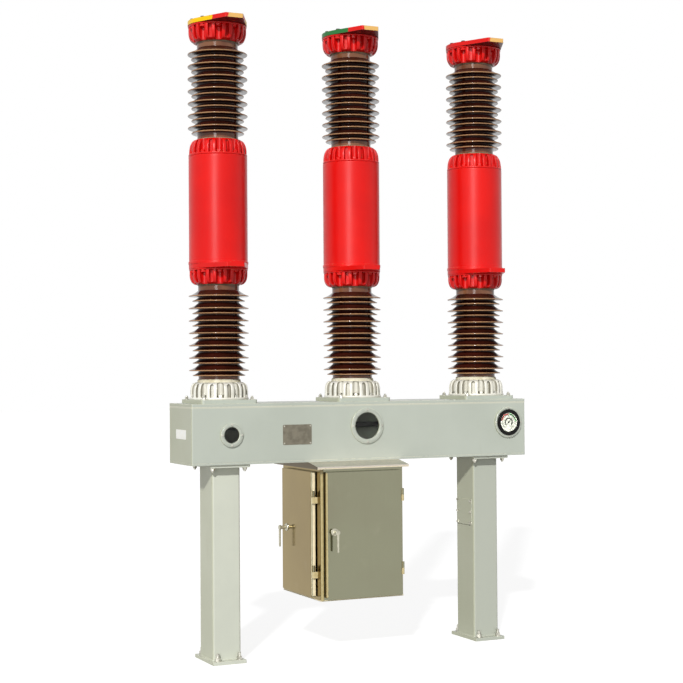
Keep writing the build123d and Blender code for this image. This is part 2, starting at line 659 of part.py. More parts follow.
def lever_handle(name, face_plane):
    """Handle on a door's face: a rose, a neck that stands off and a lever that hangs from it, with its spindle."""
    outward = Axis(face_plane.origin, face_plane.z_dir)
    lever_plane = face_plane.offset(HANDLE_GAP + HANDLE_STAND_OFF)
    with BuildPart() as handle:
        with BuildSketch(face_plane.offset(HANDLE_GAP)):
            Circle(ROSE_RADIUS)
        extrude(amount=ROSE_THICKNESS)
        with BuildSketch(face_plane.offset(HANDLE_GAP)):
            Circle(HANDLE_NECK_RADIUS)
        extrude(amount=HANDLE_STAND_OFF)
        with BuildSketch(lever_plane):
            with BuildLine():
                head = CenterArc((0, 0), LEVER_HEAD_WIDTH / 2, 0, 180)
                tip = CenterArc((0, -LEVER_DROP), LEVER_TIP_WIDTH / 2, 180, 180)
                Line(head @ 1, tip @ 0)
                Line(tip @ 1, head @ 0)
            make_face()
        extrude(amount=LEVER_THICKNESS)
        fillet(handle.faces().sort_by(outward)[-1].edges(), radius=LEVER_EDGE_RADIUS)
        with BuildSketch(face_plane.offset(HANDLE_GAP)):
            Circle(SPINDLE_RADIUS)
        extrude(amount=-SPINDLE_LENGTH)
    save(handle.part, name)


lever_handle("front_handle", front_face(front_door_back - DOOR_DEPTH, *front_handle_at))
lever_handle("side_handle", left_face(side_door_back - DOOR_DEPTH, *side_handle_at))
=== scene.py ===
import math

import bmesh
import bpy
from mathutils import Matrix, Vector

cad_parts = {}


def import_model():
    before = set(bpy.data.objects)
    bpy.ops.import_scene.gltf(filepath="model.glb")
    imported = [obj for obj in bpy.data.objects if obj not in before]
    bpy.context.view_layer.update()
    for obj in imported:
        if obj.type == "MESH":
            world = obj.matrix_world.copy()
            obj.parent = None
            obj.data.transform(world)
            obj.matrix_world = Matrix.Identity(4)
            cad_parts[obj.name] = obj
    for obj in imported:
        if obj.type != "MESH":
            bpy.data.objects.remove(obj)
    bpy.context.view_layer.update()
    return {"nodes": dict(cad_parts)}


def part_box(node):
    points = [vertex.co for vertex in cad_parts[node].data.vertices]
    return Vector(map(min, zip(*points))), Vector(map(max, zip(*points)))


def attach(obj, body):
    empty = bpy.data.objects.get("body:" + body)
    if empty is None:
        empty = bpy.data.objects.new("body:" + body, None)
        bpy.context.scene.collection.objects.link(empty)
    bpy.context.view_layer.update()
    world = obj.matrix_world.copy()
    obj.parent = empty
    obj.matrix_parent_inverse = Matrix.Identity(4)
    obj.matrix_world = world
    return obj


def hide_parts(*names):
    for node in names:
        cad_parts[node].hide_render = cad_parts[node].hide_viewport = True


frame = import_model()

# Camera: place in metres, angles in degrees, focal length in pixels of the square photograph
PHOTO_SIZE = 683
CAMERA_PLACE = Vector((-3.3196, -6.9370, 1.3885))
CAMERA_YAW = 25.182
CAMERA_PITCH = 0.873
CAMERA_ROLL = -0.373
FOCAL_PIXELS = 1560.2
SENSOR_WIDTH = 36.0

# Directions, and the corners of a rectangle as signs
UP = Vector((0, 0, 1))
DOWN = -UP
FRONT = Vector((0, -1, 0))
LEFT = Vector((-1, 0, 0))
RIGHT = -LEFT
CORNERS = ((-1, -1), (-1, 1), (1, -1), (1, 1))

# Insulators, in metres; the two kinds of shed are radius and rise
NECK_RADIUS = 0.097
SHED_COUNT = 7
SHED_PITCH = 0.0585
FIRST_SHED_HEIGHT = 0.088
SHED_TIP = 0.006
SHED_UNDERCUT = 0.003
SHED_RIM_BAND = 0.016
NECK_FILLET = 0.003
SMALL_SHED_DROP = 0.0235
SMALL_SHED = (0.125, 0.0165)
LARGE_SHED = (0.142, 0.0265)
INSULATOR_STEPS = 128

# Flanges of the castings and their bolts
FLANGE_RADIUS = 0.139
FLANGE_THICKNESS = 0.008
BASE_FLANGE_RADIUS = 0.140
BASE_FLANGE_THICKNESS = 0.010
FLANGE_EDGE = 0.0015
FLANGE_BOLT_COUNT = 10
FLANGE_BOLT_CIRCLE = 0.1242

# Castings: the domes are foot radius, share of the height that is straight, fullness
DOME_RIM_RADIUS = 0.104
DOME_STEPS = 14
CUP_RADIUS = 0.100
CUP_DEPTH = 0.012
FULL_DOME = (0.1370, 0.25, 2.2)
SLIM_DOME = (0.1365, 0.12, 2.1)
BASE_DOME = (0.1365, 0.30, 2.6)
POCKET_HALF = 0.0170
POCKET_MOUTH_RADIUS = 0.137
RELIEF_HALF = 0.009
RELIEF_FLOOR = 0.113
RIM_BAND = 0.008
RIB_EDGE = 0.0022
RECESS_FULL = 0.020
HALF_SECTOR = 18.0

# Fasteners: across flats, head height, washer radius, washer thickness, stud radius, stud height
FLANGE_BOLT = (0.024, 0.010, 0.0142, 0.0025, 0.0, 0.0)
TOP_NUT = (0.019, 0.0055, 0.011, 0.0015, 0.0, 0.0)
PLATE_NUT = (0.016, 0.009, 0.0115, 0.002, 0.005, 0.017)
CAP_NUT = (0.019, 0.010, 0.0125, 0.0025, 0.006, 0.020)
FOOT_NUT = (0.024, 0.013, 0.0155, 0.003, 0.008, 0.034)
WINDOW_SCREW = (0.008, 0.005, 0.006, 0.0012, 0.0, 0.0)
GAUGE_SCREW = (0.007, 0.004, 0.005, 0.001, 0.0, 0.0)
COVER_SCREW = (0.010, 0.006, 0.008, 0.0015, 0.0, 0.0)

# Half spacings of nuts along the beam and across it, and the cover screws' half spacing and pitch
PLATE_NUT_SPACING = (0.119, 0.121)
CAP_NUT_SPACING = (0.080, 0.121)
FOOT_NUT_SPACING = (0.054, 0.106)
COVER_SCREW_HALF = 0.066
COVER_SCREW_PITCH = 0.056

# Legs
LEG_WIDTH = 0.140
LEG_DEPTH = 0.175
LEG_CORNER = 0.010
LEG_CAP_THICKNESS = 0.014
FOOT_TOP = 0.016
LEG_BEAD = 0.005

# Tanks and terminals: foot ring, place where the phase colour starts, half width of the bare tip
TANK_RING_HEIGHT = 0.011
PHASE_EDGE_Y = -0.152
TONGUE_HALF = 0.036

# Gauge: bands are inner and outer radius, marks are inner radius and half width in degrees
DIAL_DEPTH = 0.005
DIAL_RADIUS = 0.0478
PRINT_HEIGHT = 0.0008
SCALE_START = 225.0
SCALE_END = -45.0
SCALE_MAX = 8
SCALE_BAND = (0.0168, 0.0232)
RANGE_BAND = (0.0385, 0.0440)
MAIN_MARK = (0.0325, 2.0)
SMALL_MARK = (0.0345, 1.2)
MARK_END = 0.0378
NUMBER_RADIUS = 0.0279
NUMBER_SIZE = 0.0076
RED_RANGE = (1.6, 4.0)
GREEN_RANGE = (4.0, 6.6)
NEEDLE_VALUE = 5.2

# Bare plates: width, height, corner radius, thickness and drawn-in edge
NAMEPLATE_X = -0.366
NAMEPLATE_Z = 1.062
NAMEPLATE_SIZE = (0.148, 0.095, 0.006, 0.0018, 0.0005)
RIVET_SPACING = (0.067, 0.0405)
LABEL_Y = -0.011
LABEL_Z = 1.070
LABEL_SIZE = (0.137, 0.044, 0.003, 0.0008, 0.0002)

# Lever handles
SPINDLE_RADIUS = 0.004
LEVER_NECK = 0.0085
LEVER_HEAD = 0.0125
LEVER_HALF_WIDTH = 0.0056
LEVER_TIP_RADIUS = 0.0042
LEVER_THICKNESS = 0.008

# Painted highlights along the cabinet's edges
POST_FACE = 0.0155
POST_TOP_GAP = 0.012
KNUCKLE = 0.0155
EDGE_MARGIN = 0.004
DOOR_BEND = 0.006


def low(node):
    return Vector(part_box(node)[0])


def high(node):
    return Vector(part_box(node)[1])


def centre(node):
    return (low(node) + high(node)) / 2


POLE_X = {side: centre(f"{side}_tank").x for side in ("left", "middle", "right")}
ROOF_LIP_Z = low("cabinet_roof").z


# Shader helpers
def add(tree, kind, inputs=None, **settings):
    """Adds a shader node; an input given as a socket is linked, any other value is set."""
    item = tree.nodes.new("ShaderNode" + kind)
    for key, value in settings.items():
        setattr(item, key, value)
    for key, value in (inputs or {}).items():
        if isinstance(value, bpy.types.NodeSocket):
            tree.links.new(value, item.inputs[key])
        else:
            item.inputs[key].default_value = value
    return item


def srgb(red, green, blue):
    """Linear colour of an 8-bit screen colour."""
    def linear(value):
        value /= 255
        return value / 12.92 if value <= 0.04045 else ((value + 0.055) / 1.055) ** 2.4

    return (linear(red), linear(green), linear(blue), 1.0)


def new_material(name, **values):
    """Material with a Principled shader; values are its sockets by name, with _ for a space."""
    material = bpy.data.materials.new(name)
    material.use_nodes = True
    tree = material.node_tree
    for key, value in values.items():
        tree.nodes["Principled BSDF"].inputs[key.replace("_", " ")].default_value = value
    return material, tree


def position(tree, stretch=(1, 1, 1)):
    """Place on the piece in metres, stretched along each axis."""
    coordinates = add(tree, "TexCoord").outputs["Object"]
    return add(tree, "Mapping", {"Vector": coordinates, "Scale": stretch}).outputs["Vector"]


def noise(tree, vector, scale, detail=3.0, roughness=0.5):
    inputs = {"Vector": vector, "Scale": scale, "Detail": detail, "Roughness": roughness}
    return add(tree, "TexNoise", inputs).outputs["Fac"]


def span(tree, value, start, end, low_value=0.0, high_value=1.0, smooth=True):
    """Maps value from start..end to low_value..high_value."""
    names = ("Value", "From Min", "From Max", "To Min", "To Max")
    inputs = dict(zip(names, (value, start, end, low_value, high_value)))
    kind = "SMOOTHSTEP" if smooth else "LINEAR"
    return add(tree, "MapRange", inputs, interpolation_type=kind).outputs["Result"]


def math_node(tree, operation, first, second=0.0):
    return add(tree, "Math", {0: first, 1: second}, operation=operation).outputs[0]


def mix(tree, factor, first, second):
    item = add(tree, "Mix", {0: factor, 6: first, 7: second}, data_type="RGBA")
    return item.outputs[2]


def blotch(tree, colour, cause, start, end, paint, strength=1.0):
    """Lays paint over colour, from none where cause is start to strength where it is end."""
    return mix(tree, span(tree, cause, start, end, 0.0, strength), colour, paint)


def masked(tree, colour, mask, paint, strength):
    """Lays paint over colour by mask times strength."""
    return mix(tree, math_node(tree, "MULTIPLY", mask, strength), colour, paint)


def axis_of(tree, vector, axis):
    return add(tree, "SeparateXYZ", {"Vector": vector}).outputs[axis]


def facing_side(tree):
    """1 on faces turned to either end of the beam, 0 on faces turned to the front, back, top or bottom."""
    return math_node(tree, "ABSOLUTE", axis_of(tree, add(tree, "TexCoord").outputs["Normal"], 0))


def surface(tree, height, strength, distance, edge):
    """Bump over edges that are rounded by edge metres; returns the rounded normal."""
    rounded = add(tree, "Bevel", {"Radius": edge}, samples=6).outputs["Normal"]
    inputs = {"Height": height, "Strength": strength, "Distance": distance, "Normal": rounded}
    bump = add(tree, "Bump", inputs).outputs["Normal"]
    tree.links.new(bump, tree.nodes["Principled BSDF"].inputs["Normal"])
    return rounded


def connect(tree, colour, cause, start, end, low_value, high_value):
    """Links the colour, and a roughness from low_value to high_value as cause goes from start to end."""
    shader = tree.nodes["Principled BSDF"]
    tree.links.new(colour, shader.inputs["Base Color"])
    tree.links.new(span(tree, cause, start, end, low_value, high_value), shader.inputs["Roughness"])


def edge_wear(tree, rounded, place, amount):
    """Mask of the sharp edges, broken up by noise, for chipped wear and, on the machine paint, a pale painted
    highlight.
    """
    flat = add(tree, "NewGeometry").outputs["Normal"]
    likeness = add(tree, "VectorMath", {0: rounded, 1: flat}, operation="DOT_PRODUCT").outputs["Value"]
    edge = span(tree, likeness, 0.985, 0.93)
    patches = span(tree, noise(tree, place, 55.0, 4.0, 0.6), 0.62 - amount * 0.3, 0.7 - amount * 0.3)
    return math_node(tree, "MULTIPLY", edge, patches)


def pocket_shade(tree):
    """Mask of painted shade in the castings' recesses, from the recess attribute: strongest on pocket walls,
    weaker on their floors.
    """
    recess = add(tree, "Attribute", attribute_name="recess").outputs["Fac"]
    wall = span(tree, recess, 0.04, 0.35)
    floor_share = span(tree, recess, 0.62, 0.92, 1.0, 0.35)
    return math_node(tree, "MULTIPLY", wall, floor_share)


def painted_steel(name, front, shade, side, far_shade=None, highlight_top=None):
    """Satin machine paint with faint clouds, run marks, grime and an orange-peel surface.

    side is the tone of the faces turned to the ends, a painted shade; far_shade is a painted shade towards
    +X; and highlight_top is the height where a paler band ends, a painted highlight along the top edge.
    """
    material, tree = new_material(name, Specular_IOR_Level=0.5)
    place = position(tree)
    clouds = noise(tree, place, 3.5, 4.0)
    colour = blotch(tree, front, clouds, 0.35, 0.7, shade)
    # Painted shade: the paint darkens towards +X, where the right leg stands.
    if far_shade:
        colour = blotch(tree, colour, axis_of(tree, place, 0), -0.5, 0.5, far_shade)
    # Painted shade: faces turned to the ends of the beam are darker and more olive.
    colour = blotch(tree, colour, facing_side(tree), 0.3, 0.9, side, 0.6)
    # Painted highlight: a paler band along the top edge of the beam's front.
    if highlight_top:
        height = axis_of(tree, place, 2)
        band = span(tree, height, highlight_top - 0.009, highlight_top - 0.006)
        over = span(tree, height, highlight_top + 0.001, highlight_top + 0.002, 1.0, 0.0)
        painted_highlight_band = math_node(tree, "MULTIPLY", band, over)
        colour = masked(tree, colour, painted_highlight_band, srgb(222, 218, 196), 0.4)
    runs = noise(tree, position(tree, (22, 22, 2.5)), 1.0, 3.0)
    colour = blotch(tree, colour, runs, 0.62, 0.85, srgb(150, 146, 120), 0.12)
    specks = noise(tree, place, 160.0, 2.0)
    colour = blotch(tree, colour, specks, 0.68, 0.8, srgb(120, 112, 92), 0.15)
    rounded = surface(tree, noise(tree, place, 420.0, 2.0), 0.12, 0.0006, 0.003)
    # Painted highlight: pale paint along the rounded edges.
    colour = masked(tree, colour, edge_wear(tree, rounded, place, 0.8), srgb(236, 233, 208), 0.7)
    connect(tree, colour, clouds, 0.3, 0.7, 0.3, 0.42)
    return material


def gloss_red(name):
    """Deep red gloss enamel over castings: slight fading, dust, chipped edges, a wavy surface and painted
    shade in the pockets.
    """
    material, tree = new_material(name, Specular_IOR_Level=0.32)
    place = position(tree)
    clouds = noise(tree, place, 5.0, 4.0)
    colour = blotch(tree, srgb(228, 16, 9), clouds, 0.3, 0.72, srgb(216, 13, 11))
    dust = noise(tree, position(tree, (14, 14, 3)), 1.0, 4.0)
    colour = blotch(tree, colour, dust, 0.6, 0.9, srgb(226, 84, 66), 0.12)
    rounded = surface(tree, noise(tree, place, 90.0, 3.0), 0.08, 0.0012, 0.0025)
    colour = masked(tree, colour, edge_wear(tree, rounded, place, 0.2), srgb(206, 160, 112), 0.75)
    # Painted shade: darker red in the pockets.
    colour = masked(tree, colour, pocket_shade(tree), srgb(140, 4, 6), 0.42)
    connect(tree, colour, dust, 0.35, 0.75, 0.31, 0.38)
    return material


def porcelain(name):
    """Brown glaze: dark on the sheds, thin and golden on their rims, which also carry a painted reflection as
    a lighter band, lighter on the end necks.

    The glaze attribute is 0 on an end neck, 0.5 on a shed's faces and 1 on its rim.
    """
    material, tree = new_material(name, Specular_IOR_Level=0.34)
    place = position(tree)
    glaze = add(tree, "Attribute", attribute_name="glaze").outputs["Fac"]
    flow = noise(tree, position(tree, (9, 9, 4)), 1.0, 4.0)
    dark = blotch(tree, srgb(44, 17, 9), flow, 0.3, 0.7, srgb(66, 24, 15))
    neck = blotch(tree, srgb(132, 88, 60), flow, 0.35, 0.65, srgb(104, 62, 42))
    colour = blotch(tree, neck, glaze, 0.05, 0.4, dark)
    # Rims: thin glaze, and partly a painted reflection as a lighter golden band.
    thin = math_node(tree, "ADD", glaze, span(tree, flow, 0.2, 0.8, -0.12, 0.12))
    colour = blotch(tree, colour, thin, 0.66, 1.0, srgb(180, 136, 94), 0.85)
    specks = noise(tree, place, 240.0, 2.0)
    colour = blotch(tree, colour, specks, 0.7, 0.78, srgb(120, 92, 70), 0.35)
    surface(tree, noise(tree, place, 60.0, 2.0), 0.08, 0.001, 0.001)
    connect(tree, colour, flow, 0.3, 0.8, 0.1, 0.2)
    return material


def cast_metal(name):
    """Bare sand-cast aluminium, pale and slightly rough, with painted shade in its pockets."""
    material, tree = new_material(name, Metallic=0.2, Specular_IOR_Level=0.5)
    place = position(tree)
    clouds = noise(tree, place, 11.0, 4.0)
    colour = blotch(tree, srgb(240, 238, 228), clouds, 0.3, 0.7, srgb(220, 217, 202))
    grime = noise(tree, position(tree, (30, 30, 8)), 1.0, 4.0)
    colour = blotch(tree, colour, grime, 0.6, 0.85, srgb(150, 144, 120), 0.4)
    # Painted shade: darker grey in the pockets.
    colour = masked(tree, colour, pocket_shade(tree), srgb(112, 106, 84), 0.8)
    surface(tree, noise(tree, place, 260.0, 3.0), 0.25, 0.0012, 0.003)
    connect(tree, colour, clouds, 0.3, 0.7, 0.36, 0.5)
    return material


def cement(name, pale, dull):
    """Bead of cement between porcelain and casting."""
    material, tree = new_material(name, Specular_IOR_Level=0.2)
    place = position(tree)
    clouds = noise(tree, place, 24.0, 4.0)
    colour = blotch(tree, pale, clouds, 0.3, 0.7, dull)
    surface(tree, noise(tree, place, 300.0, 3.0), 0.4, 0.001, 0.001)
    connect(tree, colour, clouds, 0.3, 0.7, 0.6, 0.85)
    return material


def stainless(name):
    """Polished cabinet sheet with a faint vertical grain; the faces turned to the side are warmer, a painted
    reflection, and on the roof the slope is painted lighter as if lit and the side faces darker as painted
    shadow.
    """
    material, tree = new_material(name, Metallic=1.0)
    place = position(tree)
    # Painted reflection: the faces turned to the side are warmer and darker.
    sideways = span(tree, facing_side(tree), 0.3, 0.9)
    clouds = span(tree, noise(tree, place, 2.6, 3.0), 0.35, 0.7)
    front = mix(tree, clouds, srgb(144, 144, 121), srgb(140, 138, 116))
    side = mix(tree, clouds, srgb(146, 128, 82), srgb(139, 121, 78))
    sheet = mix(tree, sideways, front, side)
    # Painted light and shadow on the roof: its slope lighter as if lit from above, its side faces dark as if
    # in the beam's shadow.
    roof_lit_and_shaded = mix(tree, sideways, srgb(206, 197, 186), srgb(84, 72, 48))
    on_roof = span(tree, axis_of(tree, place, 2), ROOF_LIP_Z - 0.001, ROOF_LIP_Z + 0.001)
    colour = mix(tree, on_roof, sheet, roof_lit_and_shaded)
    smudge = noise(tree, place, 14.0, 4.0)
    colour = blotch(tree, colour, smudge, 0.6, 0.8, srgb(188, 182, 160), 0.08)
    brushed = noise(tree, position(tree, (400, 400, 6)), 1.0, 2.0)
    surface(tree, brushed, 0.03, 0.0004, 0.002)
    connect(tree, colour, brushed, 0.3, 0.7, 0.12, 0.18)
    return material


def plain_metal(name, colour, roughness, metallic=1.0, grain=300.0):
    """Small steel part: the colour and a darker tone of it in clouds, with a fine grain."""
    material, tree = new_material(name, Metallic=metallic)
    place = position(tree)
    clouds = noise(tree, place, 40.0, 3.0)
    darker = tuple(channel * 0.72 for channel in colour[:3]) + (1.0,)
    tones = blotch(tree, colour, clouds, 0.35, 0.75, darker)
    surface(tree, noise(tree, place, grain, 2.0), 0.15, 0.0006, 0.0008)
    connect(tree, tones, clouds, 0.3, 0.7, roughness, roughness + 0.12)
    return material


def terminal_paint(name, side, phase):
    """Terminal plate: phase colour round the disc, red towards the front, bare metal at the tip, and painted
    shade on its underside.
    """
    material, tree = new_material(name, Specular_IOR_Level=0.3)
    place = position(tree)
    wobble = span(tree, noise(tree, place, 30.0, 3.0), 0.2, 0.8, -0.006, 0.006, smooth=False)
    edge = math_node(tree, "ADD", axis_of(tree, place, 1), wobble)
    colour = blotch(tree, srgb(222, 24, 20), edge, PHASE_EDGE_Y, PHASE_EDGE_Y + 0.005, phase)
    rounded = surface(tree, noise(tree, place, 120.0, 3.0), 0.12, 0.001, 0.002)
    colour = masked(tree, colour, edge_wear(tree, rounded, place, 0.3), srgb(206, 160, 104), 0.8)
    tip = low(f"{side}_top_terminal")
    bare = span(tree, edge, tip.y + 0.008, tip.y + 0.003)
    sideways = math_node(tree, "ADD", axis_of(tree, place, 0), wobble)
    inner = POLE_X[side] - TONGUE_HALF
    bare = math_node(tree, "MULTIPLY", bare, span(tree, sideways, inner, inner + 0.008))
    colour = mix(tree, bare, colour, srgb(236, 186, 108))
    # Painted shade: the plate's underside is dark red.
    above = span(tree, axis_of(tree, place, 2), tip.z + 0.0005, tip.z + 0.0015)
    colour = mix(tree, above, srgb(96, 22, 18), colour)
    connect(tree, colour, noise(tree, place, 20.0, 3.0), 0.3, 0.7, 0.3, 0.44)
    return material


def glass(name):
    """Window glass with a little dust, which lets lamp light through."""
    tint = srgb(240, 242, 238)
    material, tree = new_material(name, Base_Color=tint, Transmission_Weight=1.0, IOR=1.22)
    shader = tree.nodes["Principled BSDF"]
    smear = noise(tree, position(tree), 24.0, 3.0)
    tree.links.new(span(tree, smear, 0.3, 0.8, 0.01, 0.06), shader.inputs["Roughness"])
    clear = add(tree, "BsdfTransparent", {"Color": (0.9, 0.92, 0.9, 1)})
    shadow = add(tree, "LightPath").outputs["Is Shadow Ray"]
    blend = add(tree, "MixShader", {0: shadow, 1: shader.outputs[0], 2: clear.outputs[0]})
    tree.links.new(blend.outputs[0], tree.nodes["Material Output"].inputs["Surface"])
    return material


def enamel(name, colour, shade, roughness=0.3, gloss=0.4):
    """Small printed or enamelled part: two close tones, faint grain and rounded edges."""
    material, tree = new_material(name, Specular_IOR_Level=gloss)
    place = position(tree)
    clouds = noise(tree, place, 60.0, 3.0)
    tones = blotch(tree, colour, clouds, 0.35, 0.7, shade)
    surface(tree, noise(tree, place, 500.0, 2.0), 0.08, 0.0003, 0.0006)
    connect(tree, tones, clouds, 0.3, 0.7, roughness, roughness + 0.1)
    return material


# Paints: front, a darker tone laid in clouds, and the tone of the faces turned to the ends, which is painted
# shade
FRAME_TONES = (srgb(187, 193, 181), srgb(181, 187, 175), srgb(176, 177, 144))
LEG_TONES = (srgb(208, 211, 196), srgb(201, 204, 190), srgb(184, 186, 156))
MATERIALS = {
    "frame_paint": painted_steel("frame_paint", *FRAME_TONES, highlight_top=high("beam_front_panel").z),
    "leg_paint": painted_steel("leg_paint", *LEG_TONES, far_shade=srgb(180, 184, 171)),
    "bare_casting": cast_metal("bare_casting"),
    "porcelain": porcelain("porcelain"),
    "red_paint": gloss_red("red_paint"),
    "phase_yellow": terminal_paint("phase_yellow", "left", srgb(255, 200, 0)),
    "phase_green": terminal_paint("phase_green", "middle", srgb(40, 116, 56)),
    "phase_red": terminal_paint("phase_red", "right", srgb(222, 24, 20)),
    "dark_steel": plain_metal("dark_steel", srgb(60, 60, 58), 0.45),
    "window_glass": glass("window_glass"),
    "gauge_case": enamel("gauge_case", srgb(14, 14, 13), srgb(22, 21, 20), roughness=0.2, gloss=0.15),
    "stainless": stainless("stainless"),
    "handle_steel": plain_metal("handle_steel", srgb(205, 201, 180), 0.18, metallic=0.6),
}
PALE_CEMENT = cement("pale_cement", srgb(232, 226, 204), srgb(206, 198, 168))
GREY_CEMENT = cement("grey_cement", srgb(150, 140, 112), srgb(112, 100, 78))
ZINC = plain_metal("zinc", srgb(206, 204, 192), 0.3)
NAMEPLATE = plain_metal("nameplate_metal", srgb(132, 126, 110), 0.3, metallic=0.75, grain=180.0)
LABEL_WHITE = enamel("label_white", srgb(255, 255, 250), srgb(252, 251, 242))
# Painted highlights: pale strips laid on the cabinet's edges.
EDGE_HIGHLIGHT = enamel("edge_highlight", srgb(236, 224, 190), srgb(226, 213, 178), roughness=0.14)
DIM_EDGE_HIGHLIGHT = enamel("dim_edge_highlight", srgb(186, 172, 124), srgb(176, 160, 112), roughness=0.14)
RING_PAINT = enamel("ring_paint", srgb(180, 186, 172), srgb(172, 178, 164), roughness=0.08, gloss=1.0)
DIAL_WHITE = enamel("dial_white", srgb(214, 212, 204), srgb(204, 202, 192))
DIAL_BLACK = enamel("dial_black", srgb(26, 25, 24), srgb(34, 32, 30))
DIAL_RED = enamel("dial_red", srgb(150, 28, 28), srgb(136, 24, 24))
DIAL_GREEN = enamel("dial_green", srgb(30, 100, 48), srgb(26, 90, 42))
HINGE_STEEL = enamel("hinge_steel", srgb(206, 190, 146), srgb(190, 174, 128), roughness=0.2)

for obj in frame["nodes"].values():
    for index, material_slot in enumerate(obj.material_slots):
        obj.data.materials[index] = MATERIALS[material_slot.material.name.split(".")[0]]
    obj.data.shade_smooth()
    obj.data.set_sharp_from_angle(angle=math.radians(35))
frame["nodes"]["door_hinges"].data.materials[0] = HINGE_STEEL


# Mesh helpers
def place_at(point, axis, turn=0.0):
    """Place whose origin is point and whose z runs along axis, turned about it in degrees."""
    facing = axis.to_track_quat("Z", "Y").to_matrix().to_4x4()
    return Matrix.Translation(point) @ facing @ Matrix.Rotation(math.radians(turn), 4, "Z")


def shift(x, y, z):
    return Matrix.Translation((x, y, z))


def axes(right, up, out):
    """Turn whose x, y and z run along the three directions."""
    return Matrix((right, up, out)).transposed().to_4x4()


def bridge(mesh, first, second):
    """Joins two closed rows of vertices with faces."""
    for n in range(len(first)):
        m = (n + 1) % len(first)
        mesh.faces.new((first[n], first[m], second[m], second[n]))


def turned(mesh, profile, place, steps=24, closed=False, values=None):
    """Turns (radius, height) points about place's z axis; values go to the glaze attribute, one a point."""
    layer = mesh.verts.layers.float.get("glaze") if values else None
    rings = []
    for index, (radius, height) in enumerate(profile):
        ring = []
        for step in range(steps if radius > 0 else 1):
            angle = math.tau * step / steps
            corner = Vector((radius * math.cos(angle), radius * math.sin(angle), height))
            vertex = mesh.verts.new(place @ corner)
            if layer:
                vertex[layer] = values[index]
            ring.append(vertex)
        rings.append(ring)
    if closed:
        rings.append(rings[0])
    for first, second in zip(rings, rings[1:]):
        for step in range(steps):
            after = (step + 1) % steps
            corners = [
                first[step % len(first)],
                first[after % len(first)],
                second[after % len(second)],
                second[step % len(second)],
            ]
            face = list(dict.fromkeys(corners))
            if len(face) > 2:
                mesh.faces.new(face)


def arc(centre_point, radius, start, end, count):
    """Points on a circle in the profile's plane, from start to end degrees."""
    angles = [math.radians(start + (end - start) * n / (count - 1)) for n in range(count)]
    x, y = centre_point
    return [(x + radius * math.cos(angle), y + radius * math.sin(angle)) for angle in angles]


def prism(mesh, outline, place, height, edge=0.0):
    """Plate with the outline at its foot, height thick, its upper edge drawn in by edge."""
    middle = sum((Vector((x, y)) for x, y in outline), Vector((0, 0))) / len(outline)
    levels = [(0.0, 0.0), (height - edge, 0.0)]
    if edge:
        levels.append((height, edge))
    rings = []
    for z, inset in levels:
        ring = []
        for x, y in outline:
            away = Vector((x, y)) - middle
            drawn_in = away - away.normalized() * inset
            ring.append(mesh.verts.new(place @ Vector((*(middle + drawn_in), z))))
        rings.append(ring)
    for first, second in zip(rings, rings[1:]):
        bridge(mesh, first, second)
    mesh.faces.new(rings[-1])
    mesh.faces.new(rings[0][::-1])


def rounded_rectangle(width, height, radius, count=6):
    """Outline of a rectangle about the origin with rounded corners."""
    points = []
    for n, (x, y) in enumerate(((1, 1), (-1, 1), (-1, -1), (1, -1))):
        corner = (x * (width / 2 - radius), y * (height / 2 - radius))
        points += arc(corner, radius, 90 * n, 90 * (n + 1), count)
    return points


def fastener(mesh, place, size):
    """Hexagon head or nut on a washer, with a rounded stud end where the size has one."""
    across, head, washer_radius, washer, stud_radius, stud = size
    corner = across / math.sqrt(3)
    chamfer = corner * 0.12
    rim = washer * 0.25
    side = [(washer_radius, 0), (washer_radius, washer - rim), (washer_radius - rim, washer)]
    turned(mesh, [(0, 0), *side, (0, washer)], place, steps=20)
    top = washer + head
    side = [(corner, washer), (corner, top - chamfer * 0.6), (corner - chamfer, top)]
    turned(mesh, [(0, washer), *side, (0, top)], place, steps=6)
    if stud:
        end = stud_radius * 0.25
        side = [(stud_radius, top), (stud_radius, stud - end), (stud_radius - end, stud)]
        turned(mesh, [(0, top), *side, (0, stud)], place, steps=16)


def new_object(name, data):
    item = bpy.data.objects.new(name, data)
    bpy.context.collection.objects.link(item)
    return item


def new_piece(name, mesh, slot, material=None, body="stand", angle=35.0):
    """Makes an object of a bmesh whose points are in the shared frame, and lets it ride on a body.

    It has its slot's own material unless another is given.
    """
    bmesh.ops.recalc_face_normals(mesh, faces=mesh.faces)
    data = bpy.data.meshes.new(name)
    mesh.to_mesh(data)
    mesh.free()
    data.materials.append(material or MATERIALS[slot])
    data.shade_smooth()
    data.set_sharp_from_angle(angle=math.radians(angle))
    piece = new_object(name, data)
    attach(piece, body)
    return piece


# Porcelain with rounded rims and hollow upper faces
def shed_profile(radius, tip_z, rise):
    """Points and glaze values of one shed, from its underside to its upper face."""
    half = SHED_TIP / 2
    under = tip_z - SHED_UNDERCUT
    points = [(NECK_RADIUS, under - NECK_FILLET), (NECK_RADIUS + NECK_FILLET, under)]
    values = [0.5, 0.5]
    rim = arc((radius - half, tip_z), half, -90, 90, 9)
    points.append((radius - SHED_RIM_BAND, under + (tip_z - half - under) * 0.6))
    values.append(0.55)
    points += rim
    values += [0.86, 0.92] + [1.0] * 5 + [0.8, 0.5]
    start = Vector(rim[-1])
    bend = Vector((NECK_RADIUS + (radius - NECK_RADIUS) * 0.40, tip_z + half + (rise - half) * 0.33))
    end = Vector((NECK_RADIUS, tip_z + rise))
    for n in range(1, 9):
        t = n / 8
        points.append(tuple(start * (1 - t) ** 2 + bend * 2 * t * (1 - t) + end * t ** 2))
        values.append(0.5)
    return points, values


